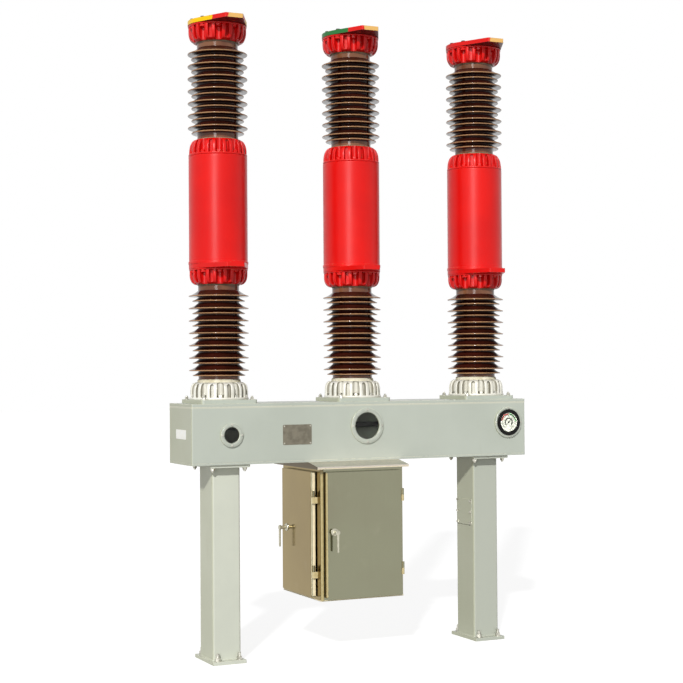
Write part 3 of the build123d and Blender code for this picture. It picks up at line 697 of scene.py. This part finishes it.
def insulator(node):
    foot_z, head_z = low(node).z, high(node).z
    first_shed = foot_z + FIRST_SHED_HEIGHT - SMALL_SHED_DROP
    points = [(0, foot_z), (NECK_RADIUS, foot_z), (NECK_RADIUS, first_shed - 0.010)]
    values = [0.0, 0.0, 0.0]
    for n in range(SHED_COUNT):
        large_z = foot_z + FIRST_SHED_HEIGHT + n * SHED_PITCH
        for (radius, rise), tip_z in ((SMALL_SHED, large_z - SMALL_SHED_DROP), (LARGE_SHED, large_z)):
            shed_points, shed_values = shed_profile(radius, tip_z, rise)
            points += shed_points
            values += shed_values
    points += [(NECK_RADIUS, points[-1][1] + 0.002), (NECK_RADIUS, head_z), (0, head_z)]
    values += [0.0, 0.0, 0.0]
    mesh = bmesh.new()
    mesh.verts.layers.float.new("glaze")
    turned(mesh, points, shift(centre(node).x, 0, 0), steps=INSULATOR_STEPS, values=values)
    piece = new_piece(node.replace("insulator", "porcelain"), mesh, "porcelain", angle=80)
    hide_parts(node)


for side in POLE_X:
    insulator(f"{side}_lower_insulator")
    insulator(f"{side}_upper_insulator")


# Castings: a full dome with a pocket for each flange bolt and an arched relief between two bolts
def dome_radius(share, shape):
    """Radius at a share of the dome's height; shape is foot radius, straight share and fullness."""
    foot_radius, straight, power = shape
    if share <= straight:
        return foot_radius
    along = (share - straight) / (1 - straight)
    return DOME_RIM_RADIUS + (foot_radius - DOME_RIM_RADIUS) * (1 - along ** power) ** (1 / power)


def casting_outline(radius, arch):
    """Half a sector from a pocket's middle to a relief's middle, as (degrees, radius) points.

    arch is the share of the relief's full width at this height.
    """
    pocket_edge = math.degrees(math.asin(POCKET_HALF / POCKET_MOUTH_RADIUS))
    points = []
    for n in range(6):
        angle = pocket_edge * n / 5
        across = FLANGE_BOLT_CIRCLE * math.sin(math.radians(angle))
        floor = FLANGE_BOLT_CIRCLE * math.cos(math.radians(angle)) - math.sqrt(POCKET_HALF ** 2 - across ** 2)
        points.append((angle, min(radius, floor)))
    inner = min(radius, RELIEF_FLOOR)
    relief_edge = HALF_SECTOR - max(0.02, arch) * math.degrees(math.asin(RELIEF_HALF / POCKET_MOUTH_RADIUS))
    soft = math.degrees(RIB_EDGE / radius)
    points += [
        (pocket_edge + 0.05, radius - RIB_EDGE),
        (pocket_edge + soft * 0.35, radius - RIB_EDGE * 0.3),
        (pocket_edge + soft, radius),
        ((pocket_edge + relief_edge) / 2, radius),
        (relief_edge - soft, radius),
        (relief_edge - soft * 0.35, radius - RIB_EDGE * 0.3),
        (relief_edge - 0.05, radius - RIB_EDGE),
    ]
    depth = radius - (radius - inner) * min(1.0, arch * 1.6)
    for n in range(4):
        angle = relief_edge + (HALF_SECTOR - relief_edge) * n / 3
        points.append((angle, min(depth, radius - 0.3 * RIB_EDGE)))
    return points


def casting(mesh, x, flange_z, rim_z, flange_radius, thickness, shape):
    """One casting on a pole's axis, whose flange starts at flange_z and whose dome ends at rim_z."""
    up = 1 if rim_z > flange_z else -1
    shoulder = flange_z + up * thickness
    height = abs(rim_z - shoulder)
    arch_top = height - RIM_BAND
    levels = [height * n / DOME_STEPS for n in range(DOME_STEPS + 1)]
    levels += [arch_top - RELIEF_HALF * (1 - math.sin(math.radians(a))) for a in (0, 20, 40, 60, 75, 90)]
    levels += [height - 0.0012, height - 0.0004]
    dome = []
    for level in sorted(levels):
        above = level - (arch_top - RELIEF_HALF)
        arch = 1.0 if above <= 0 else math.sqrt(max(0.0, 1 - (above / RELIEF_HALF) ** 2))
        dome.append((casting_outline(dome_radius(level / height, shape), arch), level))
    angles = [angle for angle, _ in dome[0][0]]

    def plain(radius, level):
        return [(angle, radius) for angle in angles], level

    flange = [
        plain(flange_radius - FLANGE_EDGE, -thickness),
        plain(flange_radius, FLANGE_EDGE - thickness),
        plain(flange_radius, -FLANGE_EDGE),
        plain(flange_radius - FLANGE_EDGE, 0.0),
    ]
    cup = [plain(CUP_RADIUS, height), plain(CUP_RADIUS, height - CUP_DEPTH)]
    recess = mesh.verts.layers.float.get("recess") or mesh.verts.layers.float.new("recess")
    rows = []
    for half, level in flange + dome + cup:
        row = []
        outer = max(radius for _, radius in half)
        whole = [(-angle, radius) for angle, radius in half[-2:0:-1]] + half
        for sector in range(FLANGE_BOLT_COUNT):
            middle = -90 + 360 * (sector + 0.5) / FLANGE_BOLT_COUNT
            for angle, radius in whole:
                turn = math.radians(middle + angle)
                spot = (x + radius * math.cos(turn), radius * math.sin(turn), shoulder + up * level)
                vertex = mesh.verts.new(spot)
                vertex[recess] = min(1.0, max(0.0, (outer - radius) / RECESS_FULL))
                row.append(vertex)
        rows.append(row)
    for first, second in zip(rows, rows[1:]):
        bridge(mesh, first, second)
    mesh.faces.new(rows[0])
    cup_floor = mesh.verts.new((x, 0, shoulder + up * (height - CUP_DEPTH)))
    for first, second in zip(rows[-1], rows[-1][1:] + rows[-1][:1]):
        mesh.faces.new((first, second, cup_floor))


def red_castings(side):
    """Node, height of flange, height of rim and direction between them for a pole's three castings."""
    for kind, axis in (("lower_flange", DOWN), ("upper_flange", UP), ("top_casting", DOWN)):
        node = f"{side}_{kind}"
        ends = (low(node).z, high(node).z)
        yield node, *(ends if axis == UP else ends[::-1]), axis


def castings():
    mesh = bmesh.new()
    foot_z, rim_z = low("base_castings").z, high("base_castings").z
    for x in POLE_X.values():
        casting(mesh, x, foot_z, rim_z, BASE_FLANGE_RADIUS, BASE_FLANGE_THICKNESS, BASE_DOME)
    piece = new_piece("base_casting_bodies", mesh, "bare_casting", angle=50)
    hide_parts("base_castings")
    for side, x in POLE_X.items():
        for node, flange_z, rim_z, axis in red_castings(side):
            mesh = bmesh.new()
            shape = SLIM_DOME if axis == UP else FULL_DOME
            casting(mesh, x, flange_z, rim_z, FLANGE_RADIUS, FLANGE_THICKNESS, shape)
            piece = new_piece(f"{node}_body", mesh, "red_paint", angle=50)
            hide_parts(node)


castings()


# Cement beads where the porcelain leaves each casting's rim
def cement_beads():
    pale = bmesh.new()
    grey = bmesh.new()
    inner = NECK_RADIUS - 0.0002
    outside = [(0.0985, 0.0138), (0.1015, 0.010), (0.1032, 0.004), (0.1034, -0.004)]
    thick = [(inner, -0.004), (inner, 0.014), *outside]
    thin = [(inner, -0.004), (inner, 0.005), (0.0985, 0.0035), (0.0998, -0.001), (0.0998, -0.004)]
    for side, x in POLE_X.items():
        base_rim = (x, 0, high("base_castings").z)
        turned(pale, thick, place_at(base_rim, UP), steps=96, closed=True)
        for _, _, rim_z, axis in red_castings(side):
            turned(grey, thin, place_at((x, 0, rim_z), axis), steps=96, closed=True)
    new_piece("base_cement_beads", pale, "bare_casting", PALE_CEMENT, angle=60)
    new_piece("flange_cement_beads", grey, "bare_casting", GREY_CEMENT, angle=60)


cement_beads()


# Bolts of the castings' flanges
def bolt_ring(mesh, x, z, axis, size):
    for n in range(FLANGE_BOLT_COUNT):
        angle = math.radians(-90 + 360 * (n + 0.5) / FLANGE_BOLT_COUNT)
        point = (x + FLANGE_BOLT_CIRCLE * math.cos(angle), FLANGE_BOLT_CIRCLE * math.sin(angle), z)
        fastener(mesh, place_at(point, axis, turn=17 * n), size)


def flange_bolts():
    silver = bmesh.new()
    red = bmesh.new()
    dark = bmesh.new()
    for side, x in POLE_X.items():
        bolt_ring(silver, x, low("base_castings").z + BASE_FLANGE_THICKNESS, UP, FLANGE_BOLT)
        for _, flange_z, _, axis in red_castings(side):
            bolt_ring(red, x, flange_z + axis.z * FLANGE_THICKNESS, axis, FLANGE_BOLT)
        bolt_ring(dark, x, high(f"{side}_top_terminal").z, UP, TOP_NUT)
    new_piece("base_casting_bolts", silver, "bare_casting", ZINC)
    new_piece("red_flange_bolts", red, "red_paint")
    new_piece("top_terminal_nuts", dark, "dark_steel")


flange_bolts()


# Nuts of the mounting plates, the legs' caps and the feet
def corner_nuts(name, middles, z, axis, spacing, size):
    mesh = bmesh.new()
    half_x, half_y = spacing
    for x in middles:
        for i, j in CORNERS:
            point = (x + i * half_x, j * half_y, z)
            fastener(mesh, place_at(point, axis, turn=20 * i + 13 * j), size)
    new_piece(name, mesh, "bare_casting", ZINC)


LEG_X = [centre(node).x for node in ("left_leg", "right_leg")]
PLATE_TOP = high("pole_mount_plates").z
CAP_UNDERSIDE = high("left_leg").z - LEG_CAP_THICKNESS
corner_nuts("mount_plate_nuts", POLE_X.values(), PLATE_TOP, UP, PLATE_NUT_SPACING, PLATE_NUT)
corner_nuts("leg_cap_nuts", LEG_X, CAP_UNDERSIDE, DOWN, CAP_NUT_SPACING, CAP_NUT)
corner_nuts("foot_nuts", LEG_X, FOOT_TOP, UP, FOOT_NUT_SPACING, FOOT_NUT)


# Round frames of the windows and the gauge: middle, screw circle, screw, crown's inner and outer radius
FRAME_FACE = low("window_frames").y
SMALL_WINDOW_Z = 1.067
GAUGE = centre("density_gauge")
ROUND_FRAMES = (
    (Vector((POLE_X["left"], FRAME_FACE, SMALL_WINDOW_Z)), 0.048, WINDOW_SCREW, 0.0382, 0.0555),
    (Vector((POLE_X["middle"], FRAME_FACE, GAUGE.z)), 0.0765, WINDOW_SCREW, 0.0652, 0.0855),
    (Vector((GAUGE.x, FRAME_FACE, GAUGE.z)), 0.0711, GAUGE_SCREW, 0.0655, 0.0765),
)


def window_screws():
    mesh = bmesh.new()
    for middle, circle, size, _, _ in ROUND_FRAMES:
        for n in range(4):
            angle = math.radians(90 * n)
            point = middle + Vector((circle * math.cos(angle), 0, circle * math.sin(angle)))
            fastener(mesh, place_at(point, FRONT, turn=25 * n), size)
    new_piece("window_screws", mesh, "bare_casting", ZINC)


def frame_crowns():
    """Convex ring on each round frame, thickest at its middle."""
    mesh = bmesh.new()
    for middle, _, _, inner, outer in ROUND_FRAMES:
        crown = [(inner, -0.0005)]
        for share, height in ((0.08, 0.0006), (0.3, 0.0016), (0.55, 0.0018), (0.8, 0.0008)):
            crown.append((inner + (outer - inner) * share, height))
        back = [(outer, -0.0020), (outer, -0.004), (inner, -0.004)]
        turned(mesh, crown + back, place_at(middle, FRONT), steps=96, closed=True)
    new_piece("window_frame_crowns", mesh, "frame_paint", RING_PAINT, angle=60)


window_screws()
frame_crowns()


# Gauge: face, scale, numbers, needle, glass and the rounded lip of its case
BEZEL_FACE = low("density_gauge").y
DIAL_FACE = BEZEL_FACE + DIAL_DEPTH


def flat_arc(mesh, place, inner, outer, start, end, lift, thickness=0.0003):
    """Thin printed arc on the dial, from start to end degrees."""
    count = max(2, int(abs(end - start) / 3) + 1)
    outline = arc((0, 0), outer, start, end, count)
    inside = arc((0, 0), inner, start, end, count)
    rows = []
    top = lift + thickness
    for points, z in ((outline, lift), (outline, top), (inside, top), (inside, lift)):
        rows.append([mesh.verts.new(place @ Vector((x, y, z))) for x, y in points])
    for row in range(4):
        first, second = rows[row], rows[(row + 1) % 4]
        for n in range(count - 1):
            mesh.faces.new((first[n], first[n + 1], second[n + 1], second[n]))
    mesh.faces.new([row[0] for row in rows])
    mesh.faces.new([row[-1] for row in rows][::-1])


def scale_angle(value):
    return SCALE_START + (SCALE_END - SCALE_START) * value / SCALE_MAX


def dial_place(lift=0.0):
    """The dial's own frame, seen from the front: x to the right, y up."""
    return shift(GAUGE.x, DIAL_FACE - lift, GAUGE.z) @ axes(RIGHT, UP, FRONT)


def gauge():
    place = dial_place()
    face = bmesh.new()
    rim = [(DIAL_RADIUS, 0), (DIAL_RADIUS, 0.0004), (DIAL_RADIUS - 0.0004, PRINT_HEIGHT)]
    turned(face, [(0, 0), *rim, (0, PRINT_HEIGHT)], place, steps=96)
    new_piece("gauge_dial_face", face, "gauge_case", DIAL_WHITE)
    scale = bmesh.new()
    flat_arc(scale, place, *SCALE_BAND, SCALE_START, SCALE_END, PRINT_HEIGHT)
    for n in range(SCALE_MAX * 5 + 1):
        angle = scale_angle(n / 5)
        inner, half = SMALL_MARK if n % 5 else MAIN_MARK
        flat_arc(scale, place, inner, MARK_END, angle + half, angle - half, PRINT_HEIGHT + 0.0001)
    new_piece("gauge_scale", scale, "gauge_case", DIAL_BLACK)
    for name, ends, paint in (("red", RED_RANGE, DIAL_RED), ("green", GREEN_RANGE, DIAL_GREEN)):
        band = bmesh.new()
        start, end = (scale_angle(value) for value in ends)
        flat_arc(band, place, *RANGE_BAND, start, end, PRINT_HEIGHT)
        new_piece(f"gauge_{name}_range", band, "gauge_case", paint)
    needle = bmesh.new()
    half = [(-0.010, 0.0014), (-0.005, 0.0011), (0.030, 0.0004)]
    outline = [(x, -y) for x, y in half] + [(0.032, 0.0)] + half[::-1]
    turn = Matrix.Rotation(math.radians(scale_angle(NEEDLE_VALUE)), 4, "Z")
    prism(needle, outline, dial_place(0.0018) @ turn, 0.0008)
    hub = [(0, 0), (0.0042, 0), (0.0042, 0.0018), (0.003, 0.0026), (0, 0.0028)]
    turned(needle, hub, dial_place(0.0009), steps=32)
    new_piece("gauge_needle", needle, "gauge_case", DIAL_BLACK)
    lip = bmesh.new()
    bead = [(DIAL_RADIUS, -0.0001)] + arc((0.0512, 0.0001), 0.0026, 165, 60, 8) + [(0.0570, 0.0020)]
    bead += arc((0.0620, -0.0006), 0.0026, 75, 0, 7) + [(0.0650, -0.0040), (DIAL_RADIUS, -0.0040)]
    turned(lip, bead, place_at((GAUGE.x, BEZEL_FACE, GAUGE.z), FRONT), steps=96, closed=True)
    new_piece("gauge_case_lip", lip, "gauge_case", angle=60)
    pane = bmesh.new()
    pane_radius = DIAL_RADIUS - 0.0002
    turned(pane, [(0, 0), (pane_radius, 0), (pane_radius, 0.0010), (0, 0.0016)], dial_place(0.0036), steps=96)
    new_piece("gauge_glass", pane, "window_glass")


def gauge_numbers():
    """Plain even numbers beside the main marks."""
    parts = bmesh.new()
    for value in range(0, SCALE_MAX + 1, 2):
        curve = bpy.data.curves.new("number", "FONT")
        curve.body = str(value)
        curve.size = NUMBER_SIZE
        curve.align_x = "CENTER"
        curve.align_y = "CENTER"
        curve.extrude = 0.0001
        curve.resolution_u = 4
        writer = bpy.data.objects.new("number", curve)
        data = bpy.data.meshes.new_from_object(writer)
        angle = math.radians(scale_angle(value))
        x, y = NUMBER_RADIUS * math.cos(angle), NUMBER_RADIUS * math.sin(angle)
        data.transform(dial_place() @ shift(x, y, PRINT_HEIGHT + 0.0002))
        parts.from_mesh(data)
        bpy.data.meshes.remove(data)
        bpy.data.objects.remove(writer)
        bpy.data.curves.remove(curve)
    new_piece("gauge_numbers", parts, "gauge_case", DIAL_BLACK)


gauge()
gauge_numbers()


# Bare nameplate on the beam's front and bare label on its left end
def bare_plate(name, place, size, slot, material):
    width, height, corner, thickness, edge = size
    mesh = bmesh.new()
    prism(mesh, rounded_rectangle(width, height, corner), place, thickness, edge=edge)
    new_piece(name, mesh, slot, material)


def plates():
    front = shift(NAMEPLATE_X, low("beam_front_panel").y, NAMEPLATE_Z) @ axes(RIGHT, UP, FRONT)
    bare_plate("nameplate", front, NAMEPLATE_SIZE, "stainless", NAMEPLATE)
    rivets = bmesh.new()
    dome = [(0, 0), (0.0035, 0), (0.0034, 0.0006), (0.0026, 0.0015), (0.0014, 0.0019), (0, 0.002)]
    half_x, half_z = RIVET_SPACING
    for i, j in CORNERS:
        turned(rivets, dome, front @ shift(i * half_x, j * half_z, NAMEPLATE_SIZE[3]), steps=20)
    new_piece("nameplate_rivets", rivets, "stainless", ZINC)
    end = shift(low("beam_end_plates").x, LABEL_Y, LABEL_Z) @ axes(FRONT, UP, LEFT)
    bare_plate("end_label", end, LABEL_SIZE, "frame_paint", LABEL_WHITE)


plates()


# Screws of the access cover on the right leg
def cover_screws():
    mesh = bmesh.new()
    middle = centre("leg_access_cover")
    face_x = low("leg_access_cover").x
    for j in (-1, 1):
        for k in (-1, 0, 1):
            point = (face_x, middle.y + j * COVER_SCREW_HALF, middle.z + k * COVER_SCREW_PITCH)
            fastener(mesh, place_at(point, LEFT, turn=15 * k), COVER_SCREW)
    new_piece("access_cover_screws", mesh, "bare_casting", ZINC)


cover_screws()


# Weld beads: at each tank's foot ring and round each leg at its foot and cap
def tank_beads():
    mesh = bmesh.new()
    ring_top = low("left_tank").z + TANK_RING_HEIGHT
    outside = [(0.1415, -0.001), (0.1412, 0.0012), (0.1400, 0.0026), (0.1388, 0.0034)]
    bead = [(0.1385, -0.001), *outside, (0.1385, 0.0034)]
    for x in POLE_X.values():
        turned(mesh, bead, place_at((x, 0, ring_top), UP), steps=128, closed=True)
    new_piece("tank_weld_beads", mesh, "red_paint", angle=80)


def leg_beads():
    mesh = bmesh.new()
    size = LEG_BEAD
    outside = [(size, 0.0), (size * 0.62, size * 0.45), (size * 0.3, size * 0.75)]
    section = [(-0.001, 0.0), *outside, (-0.001, size)]
    for x in LEG_X:
        for z, up in ((FOOT_TOP, 1), (CAP_UNDERSIDE, -1)):
            rows = []
            for out, rise in section:
                outline = rounded_rectangle(LEG_WIDTH + 2 * out, LEG_DEPTH + 2 * out, LEG_CORNER + out)
                rows.append([mesh.verts.new((x + px, py, z + up * rise)) for px, py in outline])
            for n in range(len(section)):
                bridge(mesh, rows[n], rows[(n + 1) % len(section)])
    new_piece("leg_weld_beads", mesh, "leg_paint", angle=60)


tank_beads()
leg_beads()


# Painted highlights on the cabinet's edges, as pale strips: doors, corner post, foot and roof lips
def bulge(start, end, out, count=9):
    """Closed section from start to end whose outside swells by the vector out."""
    first, last, away = Vector(start), Vector(end), Vector(out)
    points = []
    for n in range(count):
        t = n / (count - 1)
        points.append(tuple(first.lerp(last, t) + away * math.sqrt(max(0.0, 1 - (2 * t - 1) ** 2))))
    inward = away.normalized() * 0.0015
    return points + [tuple(last - inward), tuple(first - inward)]


def lip_line(mesh, corner, start_z, end_z, length_x, length_y, swell):
    """Painted highlight line along the front and, for length_y, the left side, from the corner (x, y)."""
    section = bulge((0, start_z), (0, end_z), (swell, 0), count=5)
    x, y = corner
    prism(mesh, section, shift(x + length_x, y, 0) @ axes(FRONT, UP, LEFT), length_x)
    if length_y:
        prism(mesh, section, shift(x, y, 0) @ axes(LEFT, UP, -FRONT), length_y)


def strip(name, section, foot_z, top_z, material, body="stand"):
    """Upright strip of one section."""
    mesh = bmesh.new()
    prism(mesh, section, shift(0, 0, foot_z), top_z - foot_z)
    new_piece(name, mesh, "stainless", material, body=body, angle=60)


def cabinet_edges():
    body_low, body_high = low("cabinet_body"), high("cabinet_body")
    door_low, door_high = low("front_door"), high("front_door")
    side_low, side_high = low("side_door"), high("side_door")
    roof_low, roof_high = low("cabinet_roof"), high("cabinet_roof")
    start, end = (body_low.x + 0.0015, body_low.y + 0.001), (body_low.x + POST_FACE, body_low.y)
    post = bulge(start, end, (0, -0.0022))
    strip("corner_post_edge", post, body_low.z + 0.002, door_high.z + POST_TOP_GAP, DIM_EDGE_HIGHLIGHT)
    foot_z, top_z = door_low.z + EDGE_MARGIN, door_high.z - EDGE_MARGIN
    side_y = side_low.y + KNUCKLE - 0.0005
    side = bulge((side_low.x + 0.0012, side_y + 0.002), (side_high.x - 0.0005, side_y), (0, -0.0011))
    strip("side_door_edge", side, foot_z, top_z, EDGE_HIGHLIGHT, body="side_door")
    bend = (door_low.x + DOOR_BEND, door_low.y + DOOR_BEND)
    fold = arc(bend, DOOR_BEND + 0.0006, 180, 270, 9) + arc(bend, DOOR_BEND - 0.0008, 270, 180, 9)
    strip("front_door_edge", fold, foot_z, top_z, DIM_EDGE_HIGHLIGHT, body="front_door")
    lines = bmesh.new()
    foot, roof = body_high - body_low, roof_high - roof_low
    lip_line(lines, body_low.xy, body_low.z + 0.0005, body_low.z + 0.0050, foot.x, foot.y, 0.0011)
    lip_line(lines, roof_low.xy, roof_low.z + 0.0015, roof_low.z + 0.0055, roof.x, 0.0, 0.0009)
    new_piece("cabinet_edge_highlights", lines, "stainless", EDGE_HIGHLIGHT, angle=60)


cabinet_edges()


# Lever handles: rose, neck, slim lever and the spindle through the door
def lever(node, name, door, right, out):
    """Rebuilds a lever on its spindle; right and out are directions as seen from outside the door."""
    box_low, box_high = low(node), high(node)
    axis = 0 if abs(out.x) > 0.5 else 1
    across = 1 - axis
    rose_radius = (box_high[across] - box_low[across]) / 2
    middle = (box_low + box_high) / 2
    middle[axis] = low(door)[axis]
    middle.z = box_high.z - rose_radius
    place = Matrix.Translation(middle) @ axes(right, UP, out)
    spindle = box_high[axis] - middle[axis]
    top = middle[axis] - box_low[axis]
    stand_off = top - LEVER_THICKNESS
    mesh = bmesh.new()
    shaft = [(0, -spindle), (SPINDLE_RADIUS, -spindle), (SPINDLE_RADIUS, 0.0003)]
    rose = [(rose_radius - 0.001, 0.0003), (rose_radius, 0.0013), (rose_radius - 0.0015, 0.0040)]
    neck = [(LEVER_NECK + 0.002, 0.0052), (LEVER_NECK, 0.0065), (LEVER_NECK, stand_off), (0, stand_off)]
    turned(mesh, shaft + rose + neck, place, steps=40)
    head = [(0, stand_off - 0.001), (LEVER_HEAD - 0.001, stand_off - 0.001), (LEVER_HEAD, stand_off)]
    turned(mesh, head + [(LEVER_HEAD, top - 0.002), (LEVER_HEAD - 0.002, top), (0, top)], place, steps=40)
    tip = (0, LEVER_TIP_RADIUS - (middle.z - box_low.z))
    outline = [(-LEVER_HALF_WIDTH, 0.0), *arc(tip, LEVER_TIP_RADIUS, 180, 360, 9), (LEVER_HALF_WIDTH, 0.0)]
    prism(mesh, outline, place @ shift(0, 0, stand_off), LEVER_THICKNESS - 0.0005, edge=0.0015)
    piece = new_piece(name, mesh, "handle_steel", body=node, angle=40)
    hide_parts(node)


lever("front_handle", "front_lever", "front_door", RIGHT, FRONT)
lever("side_handle", "side_lever", "side_door", FRONT, LEFT)


# Floor, world, lamps and camera
FLOOR_HALF = 40.0


def white_rays(tree):
    """1 for the rays that show the background: camera, glossy and transmission rays."""
    rays = add(tree, "LightPath")
    seen = math_node(tree, "MAXIMUM", rays.outputs["Is Camera Ray"], rays.outputs["Is Glossy Ray"])
    return math_node(tree, "MAXIMUM", seen, rays.outputs["Is Transmission Ray"])


def floor():
    mesh = bpy.data.meshes.new("floor")
    corners = [(x * FLOOR_HALF, y * FLOOR_HALF, 0) for x, y in ((-1, -1), (1, -1), (1, 1), (-1, 1))]
    mesh.from_pydata(corners, [], [(0, 1, 2, 3)])
    piece = new_object("floor", mesh)
    material, tree = new_material("floor", Base_Color=(0.4, 0.4, 0.39, 1), Roughness=0.9)
    shader = tree.nodes["Principled BSDF"]
    pale = add(tree, "BsdfDiffuse", {"Color": (0.34, 0.34, 0.34, 1)})
    glow = add(tree, "Emission", {"Color": (1, 1, 1, 1), "Strength": 0.84})
    seen = add(tree, "AddShader", {0: pale.outputs[0], 1: glow.outputs[0]})
    blend = add(tree, "MixShader", {0: white_rays(tree), 1: shader.outputs[0], 2: seen.outputs[0]})
    tree.links.new(blend.outputs[0], tree.nodes["Material Output"].inputs["Surface"])
    mesh.materials.append(material)


def world():
    scene_world = bpy.data.worlds.new("world")
    bpy.context.scene.world = scene_world
    scene_world.use_nodes = True
    tree = scene_world.node_tree
    background = tree.nodes["Background"]
    background.inputs["Color"].default_value = (1, 1, 1, 1)
    strength = span(tree, white_rays(tree), 0.0, 1.0, 0.29, 1.0, smooth=False)
    tree.links.new(strength, background.inputs["Strength"])


def sun(name, azimuth, elevation, strength, spread):
    """Lamp from an azimuth (degrees from the front towards +X) and an elevation."""
    data = bpy.data.lights.new(name, "SUN")
    data.energy = strength
    data.angle = math.radians(spread)
    lamp = new_object(name, data)
    a, e = math.radians(azimuth), math.radians(elevation)
    towards = Vector((math.sin(a) * math.cos(e), -math.cos(a) * math.cos(e), math.sin(e)))
    lamp.rotation_euler = towards.to_track_quat("Z", "Y").to_euler()


def camera():
    data = bpy.data.cameras.new("camera")
    data.sensor_width = SENSOR_WIDTH
    data.lens = SENSOR_WIDTH * FOCAL_PIXELS / PHOTO_SIZE
    data.clip_end = 200
    yaw, pitch, roll = (math.radians(angle) for angle in (CAMERA_YAW, CAMERA_PITCH, CAMERA_ROLL))
    forward = Vector((math.sin(yaw) * math.cos(pitch), math.cos(yaw) * math.cos(pitch), math.sin(pitch)))
    level_right = Vector((math.cos(yaw), -math.sin(yaw), 0))
    level_up = level_right.cross(forward)
    right = math.cos(roll) * level_right + math.sin(roll) * level_up
    up = -math.sin(roll) * level_right + math.cos(roll) * level_up
    piece = new_object("camera", data)
    piece.matrix_world = Matrix.Translation(CAMERA_PLACE) @ axes(right, up, -forward)
    bpy.context.scene.camera = piece


floor()
world()
sun("key", azimuth=-34, elevation=29, strength=2.65, spread=3)
sun("low", azimuth=-35, elevation=6, strength=0.45, spread=14)
camera()
bpy.context.scene.view_settings.view_transform = "Standard"
